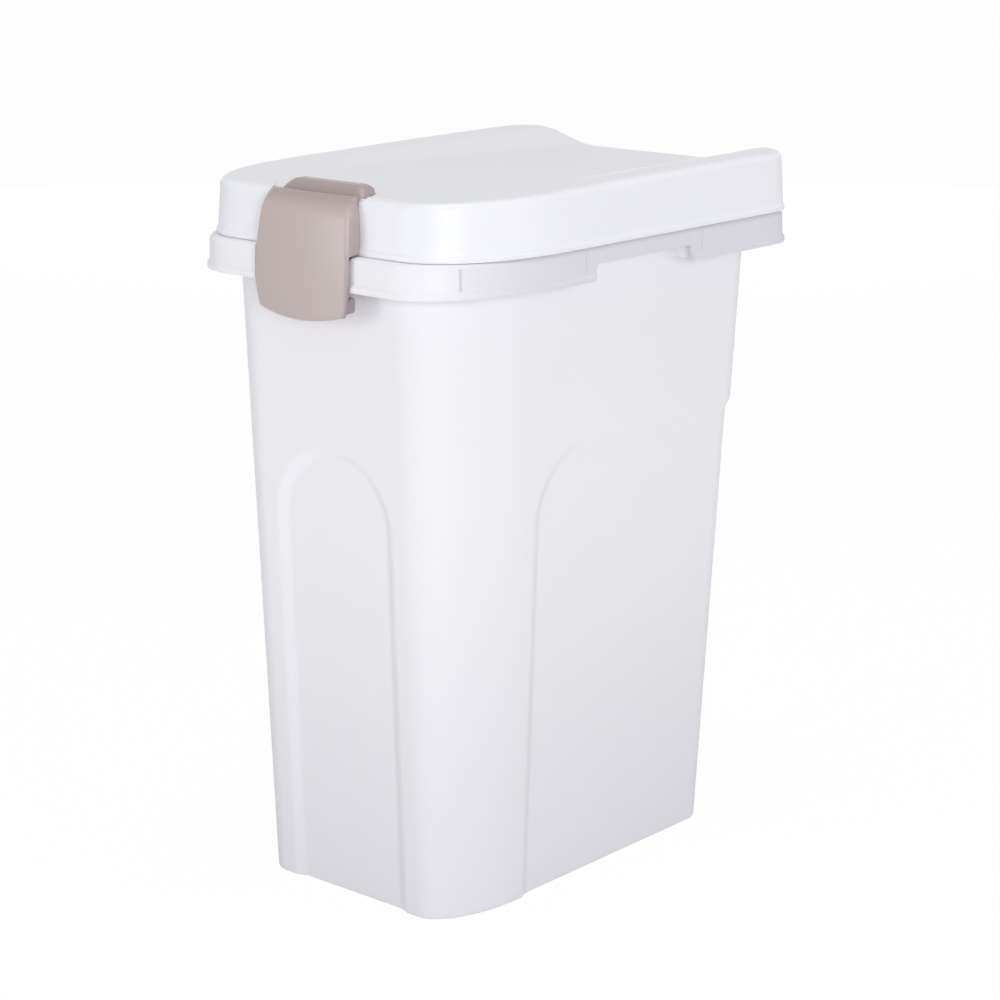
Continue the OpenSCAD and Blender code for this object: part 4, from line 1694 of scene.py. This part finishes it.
@dataclass(frozen=True)
class Studio:
    """Pale floor, white surround, soft boxes and camera, with places in metres."""

    azimuth: float = 40.87
    elevation: float = 14.5
    camera_at: Triple = (1.00962, -1.1586, 0.60713)
    lens: float = 97.0
    sensor: float = 36.0
    clip_start: float = 0.01
    floor_half: float = 9000.0
    floor_color: Triple = (0.9, 0.9, 0.91)
    floor_roughness: float = 0.9
    ambient: float = 0.34
    shadow_share: float = 0.03
    lamps: tuple[Lamp, ...] = (
        Lamp("key", (2.19, -1.84, 0.7), (0.0, 0.0, 0.2), (1.2, 1.0), 34.0),
        Lamp("left", (-1.13, -2.62, 0.7), (0.0, 0.0, 0.2), (1.2, 1.0), 9.5),
        Lamp("right", (2.68, 0.98, 0.7), (0.0, 0.0, 0.2), (1.2, 1.0), 10.5),
        Lamp("top", (0.2, -0.1, 2.6), (0.0, 0.0, 0.3), (1.2, 1.0), 20.0),
        Lamp("back", (-1.88, 2.17, 0.2), (0.0, 0.0, 0.2), (1.4, 0.36), 20.0),
        Lamp("strip", (-0.5, -1.15, 0.36), (0.0, -0.15, 0.36), (0.3, 0.6), 1.2),
    )

    def seen_white(self, tree: Tree) -> Socket:
        """1 for rays that show the surround: from the camera, from gloss and through plastic.

        Args:
            tree: The tree that asks.

        Returns:
            The socket with the 1 or 0.
        """
        path = tree.node("ShaderNodeLightPath").outputs
        both = tree.math("MAXIMUM", path["Is Camera Ray"], path["Is Glossy Ray"])
        return tree.math("MAXIMUM", both, path["Is Transmission Ray"])

    def world(self) -> None:
        """Makes the surround: plain light, shown as white."""
        world = bpy.data.worlds.new("surround")
        bpy.context.scene.world = world
        world.use_nodes = True
        tree = Tree(world.node_tree)
        strength = tree.ramp(self.seen_white(tree), 0.0, 1.0, self.ambient, 1.0, soft=False)
        tree.fill(world.node_tree.nodes["Background"], {"Color": (1, 1, 1, 1), "Strength": strength})

    def floor(self) -> None:
        """Adds the floor, which melts into the surround and keeps a soft shadow."""
        half = self.floor_half
        corners = [(*corner, 0) for corner in oblong(-half, half, -half, half)]
        piece = add_mesh("floor", corners, [range(4)])
        material, tree, shader = new_material("pale_floor")
        tree.fill(shader, {"Base Color": (*self.floor_color, 1), "Roughness": self.floor_roughness,
                           "Specular IOR Level": 0.0})
        glow = tree.node("ShaderNodeEmission", {"Color": (1, 1, 1, 1), "Strength": 1.0})
        share = tree.mul(self.seen_white(tree), 1 - self.shadow_share)
        mixed = tree.node("ShaderNodeMixShader", {0: share, 1: shader.outputs[0], 2: glow.outputs[0]})
        tree.feed(material.node_tree.nodes["Material Output"].inputs["Surface"], mixed.outputs[0])
        piece.data.materials.append(material)

    def camera(self) -> None:
        """Adds the camera and makes it the scene's own."""
        data = bpy.data.cameras.new("camera")
        data.lens, data.sensor_width, data.clip_start = self.lens, self.sensor, self.clip_start
        seen = link("camera", data)
        seen.location = self.camera_at
        seen.rotation_euler = (math.radians(90 - self.elevation), 0, math.radians(self.azimuth))
        bpy.context.scene.camera = seen

    def build(self) -> None:
        """Builds the whole studio."""
        self.world()
        self.floor()
        for lamp in self.lamps:
            lamp.build()
        self.camera()
        bpy.context.scene.view_settings.view_transform = "Standard"
        LOG.info("studio is ready")


def main() -> None:
    logging.basicConfig(level=logging.INFO, format="%(message)s")
    palette = Palette()
    Studio().build()
    Tub().build(palette.tub, palette.rib)
    Lid().build(palette.lid)
    Clip().build(palette.clip)
    dress_nodes(palette)


if __name__ == "__main__":
    main()
